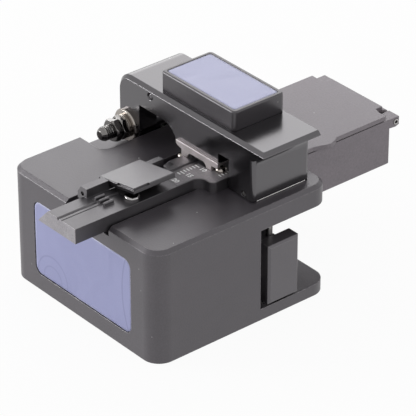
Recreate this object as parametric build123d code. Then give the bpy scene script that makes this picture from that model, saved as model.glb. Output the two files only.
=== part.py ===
"""Bench-top fibre cleaver: a solid housing with a sliding blade carriage, a fibre holder with a
clamp lid, a hinged press arm and a scrap bin on its rear.

Everything is modelled from the housing's left, front and bottom faces: X runs along the front
face to the right, Y to the rear and Z up, in millimetres. save() moves each piece so that the
origin of the finished part is the centre of the housing's underside.
"""
import os
from collections import namedtuple

from build123d import *

os.makedirs("parts", exist_ok=True)

# Fits
slide_gap = 0.15        # between the carriage and its rail, on each side
running_gap = 0.05      # radial, between a turning bore and its shaft
seat_gap = 0.02         # radial, round a screw or pin that does not turn
lay_gap = 0.1           # between faces that lie close to each other
hole_over = 1.0         # how far a cut starts outside the face that it opens
recess_gap = 0.2        # round a plate laid in a recess

# Blade and its travel
travel = 20.0           # of the carriage, from right to left
blade_radius = 7.0
blade_thickness = 0.7
blade_bevel = 0.8
blade_proud = 0.05      # how far the edge reaches above the fibre line
blade_clear = 0.6       # between the fibre and the parked blade
blade_inset = 5.6       # of the blade's centre from the carriage's left end
blade_floor_gap = 1.05  # between the blade and the carriage below it

# Housing
left_wall = 12.0        # solid left of the carriage way
way_end_gap = 4.0       # left of the carriage at the end of its travel
base_depth = 58.0
base_height = 33.0
base_corner = 5.0
top_chamfer = 1.0
floor_thickness = 3.3
roof_thickness = 6.0
way_depth = 23.5        # of the carriage way, from the rear
mat_margin = 6.0
mat_corner = 4.0
mat_thickness = 1.0
label_side = 10.0       # housing beside the label
label_low = 4.8
label_above = 6.2
label_corner = 2.5
label_recess = 0.8
label_thickness = 0.6

# Press arm
leg_inset = 5.0         # of the arm's leg from the parked blade's centre
leg_width = 9.4
lip_reach = 4.0
arm_setback = 3.8       # of the arm from the housing's rear
arm_depth = 19.2
arm_rise = 15.9         # of the arm's top above the housing
arm_plate = 6.8
arm_end_radius = 5.0
arm_chamfer = 1.0
arm_rear_edge = 0.2     # chamfer along the top's rear
head_rise = 2.6         # of the head's floor above the fibre
head_before = 8.5       # head left of the fibre
head_after = 8.4
curve_run = 6.0
leg_corner = 1.3
foot_edge = 0.25        # chamfer round the leg's foot
lip_drop = 1.2
lip_root_drop = 3.6

# Hinge of the press arm, its axis along Y
hinge_x = 5.5
hinge_rise = 1.4
shaft_radius = 2.0
shaft_head_radius = 3.4
shaft_head = 1.7
shaft_head_round = 0.8
dome_height = 1.2
thread_grooves = 4
thread_pitch = 0.7
thread_gap = 0.3
thread_depth = 0.3
stud_reach = 9.6        # of the shaft's domed tip in front of the arm
ear_radius = 4.3
ear_thickness = 5.9
pocket_depth = 35.6     # from the rear
pocket_corner = 3.0
flange_thickness = 1.2
flange_reach = 0.3      # of the bushes' flanges beyond the ears
flange_chamfer = 0.3
bush_radius = 3.0
nut_flats = 5.8
nut_thickness = 1.6
nut_gap = 0.6
nut_turn = 16           # degrees between the two nuts
sleeve_radius = 3.3
sleeve_length = 0.8
block_foot_half = 4.3   # of the hinge block, in X
block_neck_half = 2.1
block_foot = 1.7
block_gap = 0.3         # between it and the arm's ears

# Cap on the arm
cap_length = 29.4
cap_height = 5.6
cap_before = 2.0        # arm in front of the cap
cap_corner = 1.3
cap_wall = 1.3
cap_chamfer = 0.3
cap_rim = 1.1
cap_recess = 0.6
cap_plate_thickness = 0.5
cap_seat = 0.9          # depth of its screw heads' seats
cap_post = 2.2

# Silver clamp bracket and pads
bracket_before = 7.6    # bracket left of the fibre
bracket_width = 16.8
bracket_rise = 0.6      # of its top edge above the head's floor
bracket_drop = 0.9      # of its bar below the head's floor
left_leg_rise = 0.9     # of its left foot above the housing
bracket_sheet = 0.8
bracket_flange = 0.7
bracket_back = 2.4      # from the flange's rear to the blade's plane
pad_half = 3.0
low_pad_half = 2.2
pad_depth = 0.9
pad_edge = 0.5
front_pad_back = 6.8    # from the lower front pad's front to the blade's plane
front_pad_length = 4.8
rear_pad_length = 4.0
rest_half = 6.0         # of the rear fibre rest, in X
rest_depth = 4.8
rest_seat = 1.4

# Fibre holder
blade_setback = 14.4    # of the blade's plane from the housing's rear
fibre_rise = 3.0        # of the fibre, and of the holder's top, above the housing
holder_before = 8.1     # holder left of the fibre
holder_after = 7.0
holder_length = 53.7
holder_back = 1.2       # from the holder's rear to the blade's plane
holder_sink = 1.3       # of the bar's underside below the housing's top
channel_sink = 2.7
channel_left_gap = 1.9  # of the channel beside the holder
channel_right_gap = 0.5
bevel_run = 3.8
bevel_low = 0.3
foot_front = 3.0
wing_back = 13.4        # from the wing's front to the blade's plane
wing_corner = 1.6
wing_root = 2.6
groove_width = 1.0
groove_depth = 0.7
line_offset = 1.3
line_width = 0.3
screw_step = 2.6        # of the left screw's seat below the holder's top
trough_depth = 2.4
ledge_half = 2.2        # of the ledge left beside the fibre's groove
barrel_pocket = 2.4     # below the holder's top
line_depth = 0.2
notch_length = 3.8      # behind the arm's front, for the left screw

# Clamp lid on the fibre holder, its hinge axis along Y
lid_pin_offset = 4.8    # left of the fibre
lid_pin_rise = 0.6
lid_pin_radius = 0.6
lid_heel = 2.2          # of the lid left of its pin
lid_width = 14.3
lid_length = 13.4
lid_back = 21.6         # from the lid's rear to the blade's plane
lid_thickness = 1.3
lid_chamfer = 0.2
lid_rise = 2.35         # of the closed lid's top above the fibre
lid_rest_angle = 9.5    # how far the lid stands open
lid_rebate = 0.5        # along the lid's front and right edges
front_rebate_start = 7.6
side_rebate_length = 5.2
lid_pad_before = 2.4    # pad left of the fibre
lid_pad_after = 1.6
lid_pad_inset = 0.9
lid_pad_end = 0.5
lid_pad_margin = 0.2    # how much smaller the upper pad is
barrel_radius = 1.6
knuckle_before = 7.2
knuckle_behind = 4.7
knuckle_heel = 2.0
knuckle_toe = 1.8
knuckle_rise = 2.0
knuckle_drop = 1.9
knuckle_slope_run = 1.5
knuckle_slope_drop = 2.0
rear_knuckle_lower = 0.7
rear_knuckle_narrower = 0.5

# Small things on the holder
scale_thickness = 0.3
scale_offset = 2.4
scale_edge = 0.35       # holder left bare beyond the scale
scale_step = 2.4
scale_rear_inset = 1.5
stud_radius = 2.0
stud_offset = 3.9
stud_inset = 1.8
stud_rise = 0.95
stud_round = 0.6
keeper_radius = 1.75
stud_sink = 1.0
keeper_sink = 0.6
comb_back = 41.3
comb_length = 3.0
comb_before = 1.9
comb_after = 3.6
comb_pitch = 1.8
comb_ridge = 0.8
comb_height = 1.0
comb_depth = 0.8
comb_chamfer = 0.25
comb_groove = 0.5

# Rail, carriage and knob
rail_depth = 1.8
rail_root = 6.2         # dovetail width at the wall
rail_face_width = 8.0
rail_end_gap = 1.0
rail_seat = 0.8         # depth of its screw heads' seats
rail_short = 4.0
carriage_floor_gap = 1.7
carriage_wall_gap = 0.4
carriage_back = 0.6     # from the carriage's rear to the blade's plane
carriage_chamfer = 0.4
end_flange = 3.0
flange_back = 3.0
flange_drop = 3.0
knob_inset = 3.6        # of the knob's inner face from the housing's right face
knob_proud = 0.5
knob_wall_gap = 2.4
knob_below = 1.2
knob_above = 0.3
knob_behind = 1.1
knob_chamfer = 0.6
boss_half = 4.2
boss_proud = 1.3        # of the boss behind the blade's plane
boss_drop = 1.0         # of its top below the carriage's top
boss_rise = 2.5         # of its underside above the carriage's underside
plate_thickness = 1.5
axle_radius = 1.5
axle_head_radius = 2.3
axle_head = 0.3
axle_socket = 0.8
hub_radius = 3.0
hub_thickness = 0.8
edge_positions = 16     # of the blade, marked by notches round its hub
notch_depth = 0.25
notch_width = 0.35

# Scrap bin
bin_before = 15.3       # bin left of the fibre
bin_width = 29.6
bin_length = 31.3
bin_depth = 13.6
bin_rise = 1.5          # of its rim above the housing
bin_wall = 1.5
bin_chamfer = 0.4
bin_pin_back = 2.3
bin_pin_drop = 1.4
bin_pin_radius = 0.8
bin_pin_bore = 0.5
bin_barrel_radius = 1.55
left_ear_width = 3.3
right_ear_width = 3.9
bin_ear_back = 3.4
bin_ear_lower = 0.1     # than the bin's rim
bin_ear_root = 0.7
bin_ear_drop = 1.5
bin_lid_thickness = 1.2
bin_lid_gap = 0.3       # round the lid's raised middle, over the rim
bin_lid_margin = 0.6    # of the lid outside its raised middle
bin_lid_front_gap = 0.6
bin_lid_overhang = 1.5
bin_lid_notch = 1.4
bin_lid_chamfer = 0.25
tongue_left_inset = 4.9
tongue_right_inset = 4.6
tongue_flare = 2.2
bin_screw_inset = 6.3
tab_start = 3.6
tab_length = 8.2
tab_reach = 1.4

# Screws; reach is how deep one goes into the piece that it holds on to
Screw = namedtuple("Screw", "radius reach head_radius head")
rail_screw = Screw(radius=1.0, reach=4.0, head_radius=1.6, head=0.7)
hinge_screw = Screw(radius=0.9, reach=4.5, head_radius=1.0, head=1.0)
rest_screw = Screw(radius=0.8, reach=3.5, head_radius=1.4, head=1.2)
holder_screw = Screw(radius=0.9, reach=2.2, head_radius=1.5, head=1.3)
bracket_screw = Screw(radius=0.7, reach=2.8, head_radius=1.2, head=0.9)
cap_screw = Screw(radius=0.9, reach=5.0, head_radius=1.6, head=0.85)
knob_screw = Screw(radius=0.9, reach=2.4, head_radius=1.3, head=1.4)
plate_screw = Screw(radius=0.8, reach=3.0, head_radius=1.4, head=1.1)
bin_screw = Screw(radius=1.0, reach=5.0, head_radius=1.9, head=1.2)

# Magnet, pins and stops
magnet_radius = 2.5
magnet_length = 3.0
strike_thickness = 1.0
strike_inset = 5.7      # of the magnet from the leg's inner side
strike_front = 4.8      # of the magnet behind the arm's front
set_screw_radius = 0.8
set_screw_rise = 1.4
set_screw_sink = 0.5
set_screw_socket = 0.45
anvil_radius = 1.3
anvil_rise = 0.6
anvil_length = 5.0
anvil_nose = 0.5
guide_pin_radius = 0.9
guide_pin_inset = 1.2
guide_pin_back = 1.6
guide_pin_engage = 1.2
guide_pin_sink = 2.5
guide_groove_depth = 1.5
slot_front_gap = 0.8
slot_back = 3.2
slot_end_gap = 0.7
slot_corner = 1.5
hole_radius = 0.9       # of the small blind hole in the arm's front
hole_depth = 2.5
hole_sink = 0.25        # of its countersink
hole_offset = 9.4       # right of the hinge
hole_drop = 2.4

# Places along X, from the housing's left face
carriage_left = left_wall + way_end_gap + travel
blade_rest_x = carriage_left + blade_inset
leg_left = blade_rest_x + leg_inset
leg_right = leg_left + leg_width
base_width = leg_right + lip_reach
fibre_line = blade_rest_x - blade_radius - blade_clear
carriage_right = base_width - knob_inset
flange_left = carriage_right - end_flange
knob_face = base_width + knob_proud
mouth_left = hinge_x + ear_radius + 0.5
pocket_right = mouth_left + 0.4
arm_left = hinge_x - ear_radius
lug_radius = ear_radius - 0.4
flange_radius = ear_radius + flange_reach
head_left = fibre_line - head_before
head_right = fibre_line + head_after
curve_start = head_left - curve_run
cap_right = leg_left - 0.3
cap_left = cap_right - cap_length
bracket_left = fibre_line - bracket_before
bracket_right = bracket_left + bracket_width
holder_left = fibre_line - holder_before
holder_right = fibre_line + holder_after
bevel_x = holder_left + bevel_run
wing_right = leg_left - 0.6
lid_pin_x = fibre_line - lid_pin_offset
lid_left = lid_pin_x - lid_heel
lid_right = lid_left + lid_width
knuckle_left = lid_pin_x - knuckle_heel
knuckle_right = lid_pin_x + knuckle_toe
rear_knuckle_right = knuckle_right - rear_knuckle_narrower
stud_x = fibre_line + stud_offset
scale_left = fibre_line + scale_offset
strike_x = leg_left + strike_inset
rail_left = left_wall + rail_end_gap
rail_right = base_width - rail_short
guide_pin_x = carriage_right - guide_pin_inset
bin_left = fibre_line - bin_before
bin_right = bin_left + bin_width
tongue_left = bin_left + tongue_left_inset
tongue_right = bin_right - tongue_right_inset

# Places along Y, from the housing's front face
blade_plane = base_depth - blade_setback
way_front = base_depth - way_depth
arm_rear = base_depth - arm_setback
arm_front = arm_rear - arm_depth
fork_front = arm_front + ear_thickness
fork_rear = arm_rear - ear_thickness
fork_middle = (fork_front + fork_rear) / 2
flange_front = arm_front - flange_thickness
sleeve_front = flange_front - lay_gap - sleeve_length
nut_start = [sleeve_front - nut_thickness, sleeve_front - 2 * nut_thickness - nut_gap]
pocket_front = base_depth - pocket_depth
shaft_tip = arm_front - stud_reach
cap_front = arm_front + cap_before
cap_rear = arm_rear - arm_rear_edge
cap_middle_y = (cap_front + cap_rear) / 2
bracket_front = arm_front - bracket_sheet
flange_rear = blade_plane - bracket_back
slot_front = blade_plane - slot_front_gap
slot_rear = blade_plane + slot_back
rest_front = slot_rear + 0.4
rest_rear = rest_front + rest_depth
rest_middle_y = (rest_front + rest_rear) / 2
front_pad_start = blade_plane - front_pad_back
rear_pad_start = rest_front + 0.4
holder_front = blade_plane - holder_length
holder_rear = blade_plane - holder_back
wing_front = blade_plane - wing_back
wing_rear = holder_rear - 0.8
lid_rear = blade_plane - lid_back
lid_front = lid_rear - lid_length
knuckle_front = lid_front - knuckle_before
knuckle_rear = lid_rear + knuckle_behind
trough_rear = knuckle_rear + 2.5
stud_y = lid_front + stud_inset
comb_front = blade_plane - comb_back
scale_front = lid_rear + 1.1
holder_screw_y = arm_front + 1.2
strike_y = arm_front + strike_front
rail_face = way_front + rail_depth
carriage_rear = blade_plane - carriage_back
flange_end = carriage_rear + flange_back
knob_front = way_front + knob_wall_gap
knob_rear = flange_end + knob_behind
guide_pin_y = carriage_rear - guide_pin_back
plate_front = blade_plane + boss_proud
bin_rear = base_depth + bin_length
bin_pin_y = bin_rear + bin_pin_back
bin_ear_rear = bin_rear + bin_ear_back
bin_lid_front = base_depth + bin_lid_front_gap
tab_front = bin_lid_front + tab_start
bin_lid_rear = bin_rear + bin_lid_overhang
bin_lid_side_rear = bin_rear - bin_lid_notch

# Places along Z, from the housing's underside
way_floor = floor_thickness
way_roof = base_height - roof_thickness
label_high = base_height - label_above
fibre_height = base_height + fibre_rise
hinge_z = base_height + hinge_rise
pocket_floor = hinge_z - ear_radius - 0.6
foot_top = pocket_floor + block_foot
arm_top = base_height + arm_rise
mouth_roof = arm_top - arm_plate
notch_roof = mouth_roof - 0.3
head_floor = fibre_height + head_rise
cap_top = arm_top + cap_height
cap_floor = cap_top - cap_recess
magnet_top = base_height + magnet_length
set_screw_z = base_height + set_screw_rise
anvil_low = fibre_height + anvil_rise
anvil_top = anvil_low + anvil_length
channel_floor = base_height - channel_sink
holder_under = base_height - holder_sink
bevel_z = holder_under + bevel_low
screw_seat_z = fibre_height - screw_step
lid_pin_z = fibre_height + lid_pin_rise
lid_closed_top = fibre_height + lid_rise
lid_low = lid_closed_top - lid_thickness
knuckle_top = lid_pin_z + knuckle_rise
knuckle_low = lid_pin_z - knuckle_drop
rear_knuckle_top = knuckle_top - rear_knuckle_lower
blade_centre_z = fibre_height + blade_proud - blade_radius
blade_low = blade_centre_z - blade_radius
carriage_low = way_floor + carriage_floor_gap
carriage_high = blade_low - blade_floor_gap
rail_centre_z = (carriage_low + carriage_high) / 2
flange_high = carriage_high - flange_drop
knob_low = carriage_low - knob_below
knob_high = carriage_high + knob_above
boss_low = carriage_low + boss_rise
boss_high = carriage_high - boss_drop
guide_pin_top = way_roof + guide_pin_engage
bin_rim = base_height + bin_rise
bin_low = bin_rim - bin_depth
bin_pin_z = bin_rim - bin_pin_drop
bin_ear_top = bin_rim - bin_ear_lower
bin_lid_low = bin_rim + bin_lid_gap
bin_lid_top = bin_lid_low + bin_lid_thickness

# Where the screws stand
rail_screw_x = [rail_left + 5, (rail_left + rail_right) / 2, rail_right - 5]
hinge_screw_x = [hinge_x - 3.2, hinge_x + 3.2]
rest_screw_x = [fibre_line - 4.2, fibre_line + 4.2]
holder_screw_x = [holder_left + 1.0, holder_right + 1.2]
bracket_screw_x = [fibre_line - 5.1, fibre_line + 5.3]
bracket_screw_y = arm_front + 3.6
cap_screw_x = [cap_left + 6, cap_right - 6]
knob_screw_y = carriage_rear + 1.6
knob_screw_z = [carriage_low + 2.2, flange_high - 2.2]
plate_screw_z = [boss_low + 1.8, boss_high - 2.2]
bin_screw_x = [bin_left + bin_screw_inset, bin_right - bin_screw_inset]
bin_screw_z = base_height - 3.0

shift = Pos(-base_width / 2, -base_depth / 2, 0)


def save(name, shape):
    """Writes one piece, moved into the part's frame."""
    export_step(shift * shape, f"parts/{name}.step")


def span(x, y, z):
    """A box between pairs of limits along X, Y and Z."""
    centre = [(low + high) / 2 for low, high in (x, y, z)]
    return Pos(*centre) * Box(*[high - low for low, high in (x, y, z)])


def rounded_span(x, y, z, radius):
    """A box with rounded vertical corners."""
    flat = RectangleRounded(x[1] - x[0], y[1] - y[0], radius)
    return Pos((x[0] + x[1]) / 2, (y[0] + y[1]) / 2, z[0]) * extrude(flat, z[1] - z[0])


def along_x(radius, x, y, z):
    """A cylinder along X between two limits."""
    return Pos((x[0] + x[1]) / 2, y, z) * Rot(0, 90, 0) * Cylinder(radius, x[1] - x[0])


def along_y(radius, y, x, z):
    """A cylinder along Y between two limits."""
    return Pos(x, (y[0] + y[1]) / 2, z) * Rot(90, 0, 0) * Cylinder(radius, y[1] - y[0])


def along_z(radius, z, x, y):
    """A cylinder along Z between two limits."""
    return Pos(x, y, (z[0] + z[1]) / 2) * Cylinder(radius, z[1] - z[0])


def front_view(outline, y):
    """A sketch drawn in X and Z, made solid between two Y limits."""
    plane = Plane(origin=(0, y[1], 0), x_dir=(1, 0, 0), z_dir=(0, -1, 0))
    return extrude(plane * outline, y[1] - y[0])


def side_view(outline, x):
    """A sketch drawn in Y and Z, made solid between two X limits."""
    plane = Plane(origin=(x[0], 0, 0), x_dir=(0, 1, 0), z_dir=(1, 0, 0))
    return extrude(plane * outline, x[1] - x[0])


def closed(*points):
    """A flat face inside a ring of points."""
    return make_face(Polyline(*points, close=True))


def rounded_at(outline, corner, radius):
    """The face with the corner at one point rounded."""
    picked = [v for v in outline.vertices() if abs(v.X - corner[0]) + abs(v.Y - corner[1]) < 1e-3]
    return fillet(picked, radius)


def vee(depth, y):
    """The cutter of the V groove under the fibre, between two Y limits."""
    half = groove_width / 2
    top = fibre_height + 0.01
    return front_view(closed((fibre_line - half, top), (fibre_line + half, top),
                             (fibre_line, fibre_height - depth)), y)


def socket_screw(size, through):
    """A socket cap screw, its head's underside at the origin and its shank down along -Z."""
    shank = size.reach + through
    screw = Pos(0, 0, -shank / 2) * Cylinder(size.radius, shank)
    top = Pos(0, 0, size.head / 2) * Cylinder(size.head_radius, size.head)
    top = chamfer(top.faces().sort_by(Axis.Z)[-1].edges(), size.head_radius * 0.12)
    socket = extrude(RegularPolygon(size.head_radius * 0.5, 6), size.head * 0.6)
    return screw + top - Pos(0, 0, size.head * 0.4) * socket


def pan_screw(size, through):
    """A pan head screw, its head's underside at the origin and its shank down along -Z."""
    shank = size.reach + through
    screw = Pos(0, 0, -shank / 2) * Cylinder(size.radius, shank)
    top = Pos(0, 0, size.head / 2) * Cylinder(size.head_radius, size.head)
    top = fillet(top.faces().sort_by(Axis.Z)[-1].edges(), size.head * 0.7)
    long, short = size.head_radius * 1.1, size.head_radius * 0.3
    cross = Box(long, short, size.head) + Box(short, long, size.head)
    return screw + top - Pos(0, 0, size.head * 1.1) * cross


# Housing and what is fixed to it


def base_housing():
    """The machined block that carries everything."""
    body = rounded_span((0, base_width), (0, base_depth), (0, base_height), base_corner)
    body = chamfer(body.faces().sort_by(Axis.Z)[-1].edges(), top_chamfer)
    way = ((left_wall, base_width + hole_over), (way_front, base_depth + hole_over), (way_floor, way_roof))
    body -= span(*way)
    body -= label_plate(0, label_recess, -hole_over)
    body -= base_mat(0)
    body -= hinge_pocket()
    channel = (holder_left - channel_left_gap, holder_right + channel_right_gap)
    body -= span(channel, (-hole_over, slot_front + hole_over), (channel_floor, base_height + hole_over))
    body -= blade_slot()
    body -= guide_groove()
    for hole in housing_holes():
        body -= hole
    return body


def housing_holes():
    """The cutters of the housing's screw holes and of the strike plate's seat."""
    seat = (base_height - strike_thickness, base_height + hole_over)
    yield along_z(magnet_radius + seat_gap, seat, strike_x, strike_y)
    for x in rail_screw_x:
        y = (way_front - rail_screw.reach, way_front + hole_over)
        yield along_y(rail_screw.radius + seat_gap, y, x, rail_centre_z)
    for x in hinge_screw_x:
        z = (pocket_floor - hinge_screw.reach, pocket_floor + hole_over)
        yield along_z(hinge_screw.radius + seat_gap, z, x, fork_middle)
    for x in bin_screw_x:
        y = (base_depth - bin_screw.reach, base_depth + hole_over)
        yield along_y(bin_screw.radius + seat_gap, y, x, bin_screw_z)
    for x in rest_screw_x:
        z = (base_height - rest_screw.reach, base_height + hole_over)
        yield along_z(rest_screw.radius + seat_gap, z, x, rest_middle_y)
    for x in holder_screw_x:
        z = (channel_floor - holder_screw.reach, base_height + hole_over)
        yield along_z(holder_screw.radius + seat_gap, z, x, holder_screw_y)


def label_plate(margin, rear, front):
    """A rounded plate in the front face, made smaller all round by the margin."""
    width = base_width - 2 * (label_side + margin)
    height = label_high - label_low - 2 * margin
    flat = RectangleRounded(width, height, label_corner - margin)
    return front_view(Pos(base_width / 2, (label_low + label_high) / 2) * flat, (front, rear))


def front_label_plate():
    """The plain plate in the front recess."""
    return label_plate(recess_gap, label_recess, label_recess - label_thickness)


def base_mat(gap):
    """The rubber mat let into the underside, or its recess where gap is zero."""
    low = mat_margin + gap
    return rounded_span((low, base_width - low), (low, base_depth - low), (0, mat_thickness), mat_corner)


def hinge_pocket():
    """The clearance that lets the arm's hinge end swing, open to the left and the rear."""
    corner = (pocket_right, pocket_front)
    rear = base_depth + hole_over
    flat = closed((-hole_over, pocket_front), corner, (pocket_right, rear), (-hole_over, rear))
    flat = rounded_at(flat, corner, pocket_corner)
    return Pos(0, 0, pocket_floor) * extrude(flat, base_height)


def blade_slot():
    """The slot in the housing's top that the blade and its plate run in."""
    reach = blade_radius + slot_end_gap
    x = (blade_rest_x - travel - reach, blade_rest_x + reach)
    z = (way_roof - hole_over, base_height + hole_over)
    return rounded_span(x, (slot_front, slot_rear), z, slot_corner)


def guide_groove():
    """The blind groove in the way's roof whose ends stop the carriage's guide pin."""
    end = guide_pin_radius + slide_gap
    x = (guide_pin_x - travel - end, guide_pin_x + end)
    y = (guide_pin_y - end, guide_pin_y + end)
    return rounded_span(x, y, (way_roof - hole_over, way_roof + guide_groove_depth), end - 0.01)


def dovetail(x, gap):
    """The rail's section between two X limits, made larger all round by the gap."""
    slope = (rail_face_width - rail_root) / 2 / rail_depth
    root = rail_root / 2 + gap
    face = rail_face_width / 2 + gap * (1 + slope)
    y = rail_face + gap
    return side_view(closed((way_front, rail_centre_z - root), (y, rail_centre_z - face),
                            (y, rail_centre_z + face), (way_front, rail_centre_z + root)), x)


def slide_rail():
    """The thin dovetail rail on the way's front wall."""
    rail = dovetail((rail_left, rail_right), 0)
    seat = rail_face - rail_seat
    for x in rail_screw_x:
        rail -= along_y(rail_screw.radius + seat_gap, (way_front - hole_over, rail_face), x, rail_centre_z)
        rail -= along_y(rail_screw.head_radius + seat_gap, (seat, rail_face + hole_over), x, rail_centre_z)
    return rail


def rail_screws():
    """Three low-head screws, sunk flush in the rail."""
    seat = rail_face - rail_seat
    screw = Rot(-90, 0, 0) * socket_screw(rail_screw, seat - way_front)
    return Compound([Pos(x, seat, rail_centre_z) * screw for x in rail_screw_x])


def strike_plate():
    """The steel disc that the arm's magnet holds on to."""
    return along_z(magnet_radius, (base_height - strike_thickness, base_height), strike_x, strike_y)


def rear_fibre_rest():
    """The block behind the blade that backs the fibre's far end."""
    x = (fibre_line - rest_half, fibre_line + rest_half)
    block = span(x, (rest_front, rest_rear), (base_height, fibre_height))
    block = chamfer(block.faces().sort_by(Axis.Z)[-1].edges().filter_by(Axis.Y), 0.6)
    block -= lower_pad(rear_pad_start, rear_pad_length, 0)
    top = fibre_height + hole_over
    for screw_x in rest_screw_x:
        hole = (base_height - hole_over, top)
        block -= along_z(rest_screw.radius + seat_gap, hole, screw_x, rest_middle_y)
        seat = (fibre_height - rest_seat, top)
        block -= along_z(rest_screw.head_radius + seat_gap, seat, screw_x, rest_middle_y)
    return block


def rest_screws():
    """Two screws sunk in the rear fibre rest."""
    seat = fibre_height - rest_seat
    screw = socket_screw(rest_screw, seat - base_height)
    return Compound([Pos(x, rest_middle_y, seat) * screw for x in rest_screw_x])


def lower_pad(front, length, gap):
    """A fibre pad, flush with the fibre holder's top, or its recess where gap is zero."""
    half = low_pad_half - gap
    return span((fibre_line - half, fibre_line + half), (front + gap, front + length - gap),
                (fibre_height - pad_depth, fibre_height))


def lower_clamp_pads():
    """The two pads that the fibre lies on, one on each side of the blade."""
    return Compound([lower_pad(front_pad_start, front_pad_length, lay_gap),
                     lower_pad(rear_pad_start, rear_pad_length, lay_gap)])


# Press arm hinge


def hinge_block():
    """The lug between the arm's two ears, screwed down in the housing's pocket."""
    y = (fork_front + block_gap, fork_rear - block_gap)
    block = span((hinge_x - block_foot_half, hinge_x + block_foot_half), y, (pocket_floor, foot_top))
    block += span((hinge_x - block_neck_half, hinge_x + block_neck_half), y, (pocket_floor, hinge_z))
    block += along_y(lug_radius, y, hinge_x, hinge_z)
    block -= along_y(shaft_radius + seat_gap, (fork_front, fork_rear), hinge_x, hinge_z)
    for x in hinge_screw_x:
        block -= along_z(hinge_screw.radius + seat_gap, (pocket_floor - hole_over, foot_top), x, fork_middle)
        relief = (foot_top, foot_top + hinge_screw.head + recess_gap)
        block -= along_z(hinge_screw.head_radius + lay_gap, relief, x, fork_middle)
    return block


def hinge_block_screws():
    """Two small cap screws in the lug's foot."""
    screw = socket_screw(hinge_screw, block_foot)
    return Compound([Pos(x, fork_middle, foot_top) * screw for x in hinge_screw_x])


def hinge_shaft():
    """The long stud through both ears and the lug, domed and threaded in front, headed at the rear."""
    dome_end = shaft_tip + dome_height
    head_start = arm_rear + flange_thickness + lay_gap
    shaft = along_y(shaft_radius, (dome_end, head_start), hinge_x, hinge_z)
    ball = Pos(hinge_x, dome_end + 0.4, hinge_z) * Sphere(shaft_radius)
    shaft += ball & along_y(shaft_radius, (shaft_tip, dome_end + 0.4), hinge_x, hinge_z)
    for step in range(thread_grooves):
        y = (dome_end + 0.3 + step * thread_pitch, dome_end + 0.3 + step * thread_pitch + thread_gap)
        ring = along_y(shaft_radius + 1, y, hinge_x, hinge_z)
        shaft -= ring - along_y(shaft_radius - thread_depth, y, hinge_x, hinge_z)
    head = along_y(shaft_head_radius, (head_start, head_start + shaft_head), hinge_x, hinge_z)
    head = fillet(head.faces().sort_by(Axis.Y)[-1].edges(), shaft_head_round)
    return shaft + head


def hinge_nuts():
    """Two thin hexagon nuts locked against each other, their corners chamfered."""
    nuts = []
    across_corners = nut_flats / 2 / 0.866
    for y, turn in zip(nut_start, (0, nut_turn)):
        flat = Rot(0, 0, turn) * RegularPolygon(nut_flats / 2, 6, major_radius=False)
        nut = front_view(Pos(hinge_x, hinge_z) * flat, (y, y + nut_thickness))
        cone = Cone(across_corners - 0.45, across_corners + 0.6, 1.05)
        kept = Pos(hinge_x, y + 0.525, hinge_z) * Rot(-90, 0, 0) * cone
        kept += along_y(across_corners + 0.6, (y + 1.0, y + nut_thickness), hinge_x, hinge_z)
        nut &= kept
        bore = (y - hole_over, y + nut_thickness + hole_over)
        nuts.append(nut - along_y(shaft_radius + seat_gap, bore, hinge_x, hinge_z))
    return Compound(nuts)


def hinge_sleeve():
    """The spacer between the arm's flanged bush and the nuts."""
    sleeve = along_y(sleeve_radius, (sleeve_front, sleeve_front + sleeve_length), hinge_x, hinge_z)
    return sleeve - along_y(shaft_radius + seat_gap, (sleeve_front - 1, arm_front), hinge_x, hinge_z)


def hinge_bushes():
    """The flanged bushes pressed in the arm's two ears."""
    front = along_y(bush_radius, (flange_front, fork_front), hinge_x, hinge_z)
    rim = along_y(flange_radius, (flange_front, arm_front), hinge_x, hinge_z)
    front += chamfer(rim.faces().sort_by(Axis.Y)[0].edges(), flange_chamfer)
    rear = along_y(bush_radius, (fork_rear, arm_rear + flange_thickness), hinge_x, hinge_z)
    rim = along_y(flange_radius, (arm_rear, arm_rear + flange_thickness), hinge_x, hinge_z)
    rear += chamfer(rim.faces().sort_by(Axis.Y)[-1].edges(), flange_chamfer)
    bore = along_y(shaft_radius + running_gap, (flange_front - 1, arm_rear + 5), hinge_x, hinge_z)
    return Compound([front - bore, rear - bore])


# Press arm


def arm_outline():
    """The arm seen from the front, without its hinge end's round ears."""
    curve_end = (head_left, head_floor)
    curve = Spline((curve_start, mouth_roof), curve_end, tangents=[(1, 0), (0.55, -0.83)])
    rest = Polyline(curve_end, (head_right, head_floor), (head_right, notch_roof), (leg_left, notch_roof),
                    (leg_left, base_height), (leg_right, base_height), (leg_right, arm_top - lip_root_drop),
                    (base_width, arm_top - lip_drop), (base_width, arm_top), (arm_left, arm_top),
                    (arm_left, hinge_z), (mouth_left, hinge_z), (mouth_left, mouth_roof),
                    (curve_start, mouth_roof))
    flat = make_face(Wire([curve, *rest.edges()]))
    return rounded_at(flat, (arm_left, arm_top), arm_end_radius)


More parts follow.
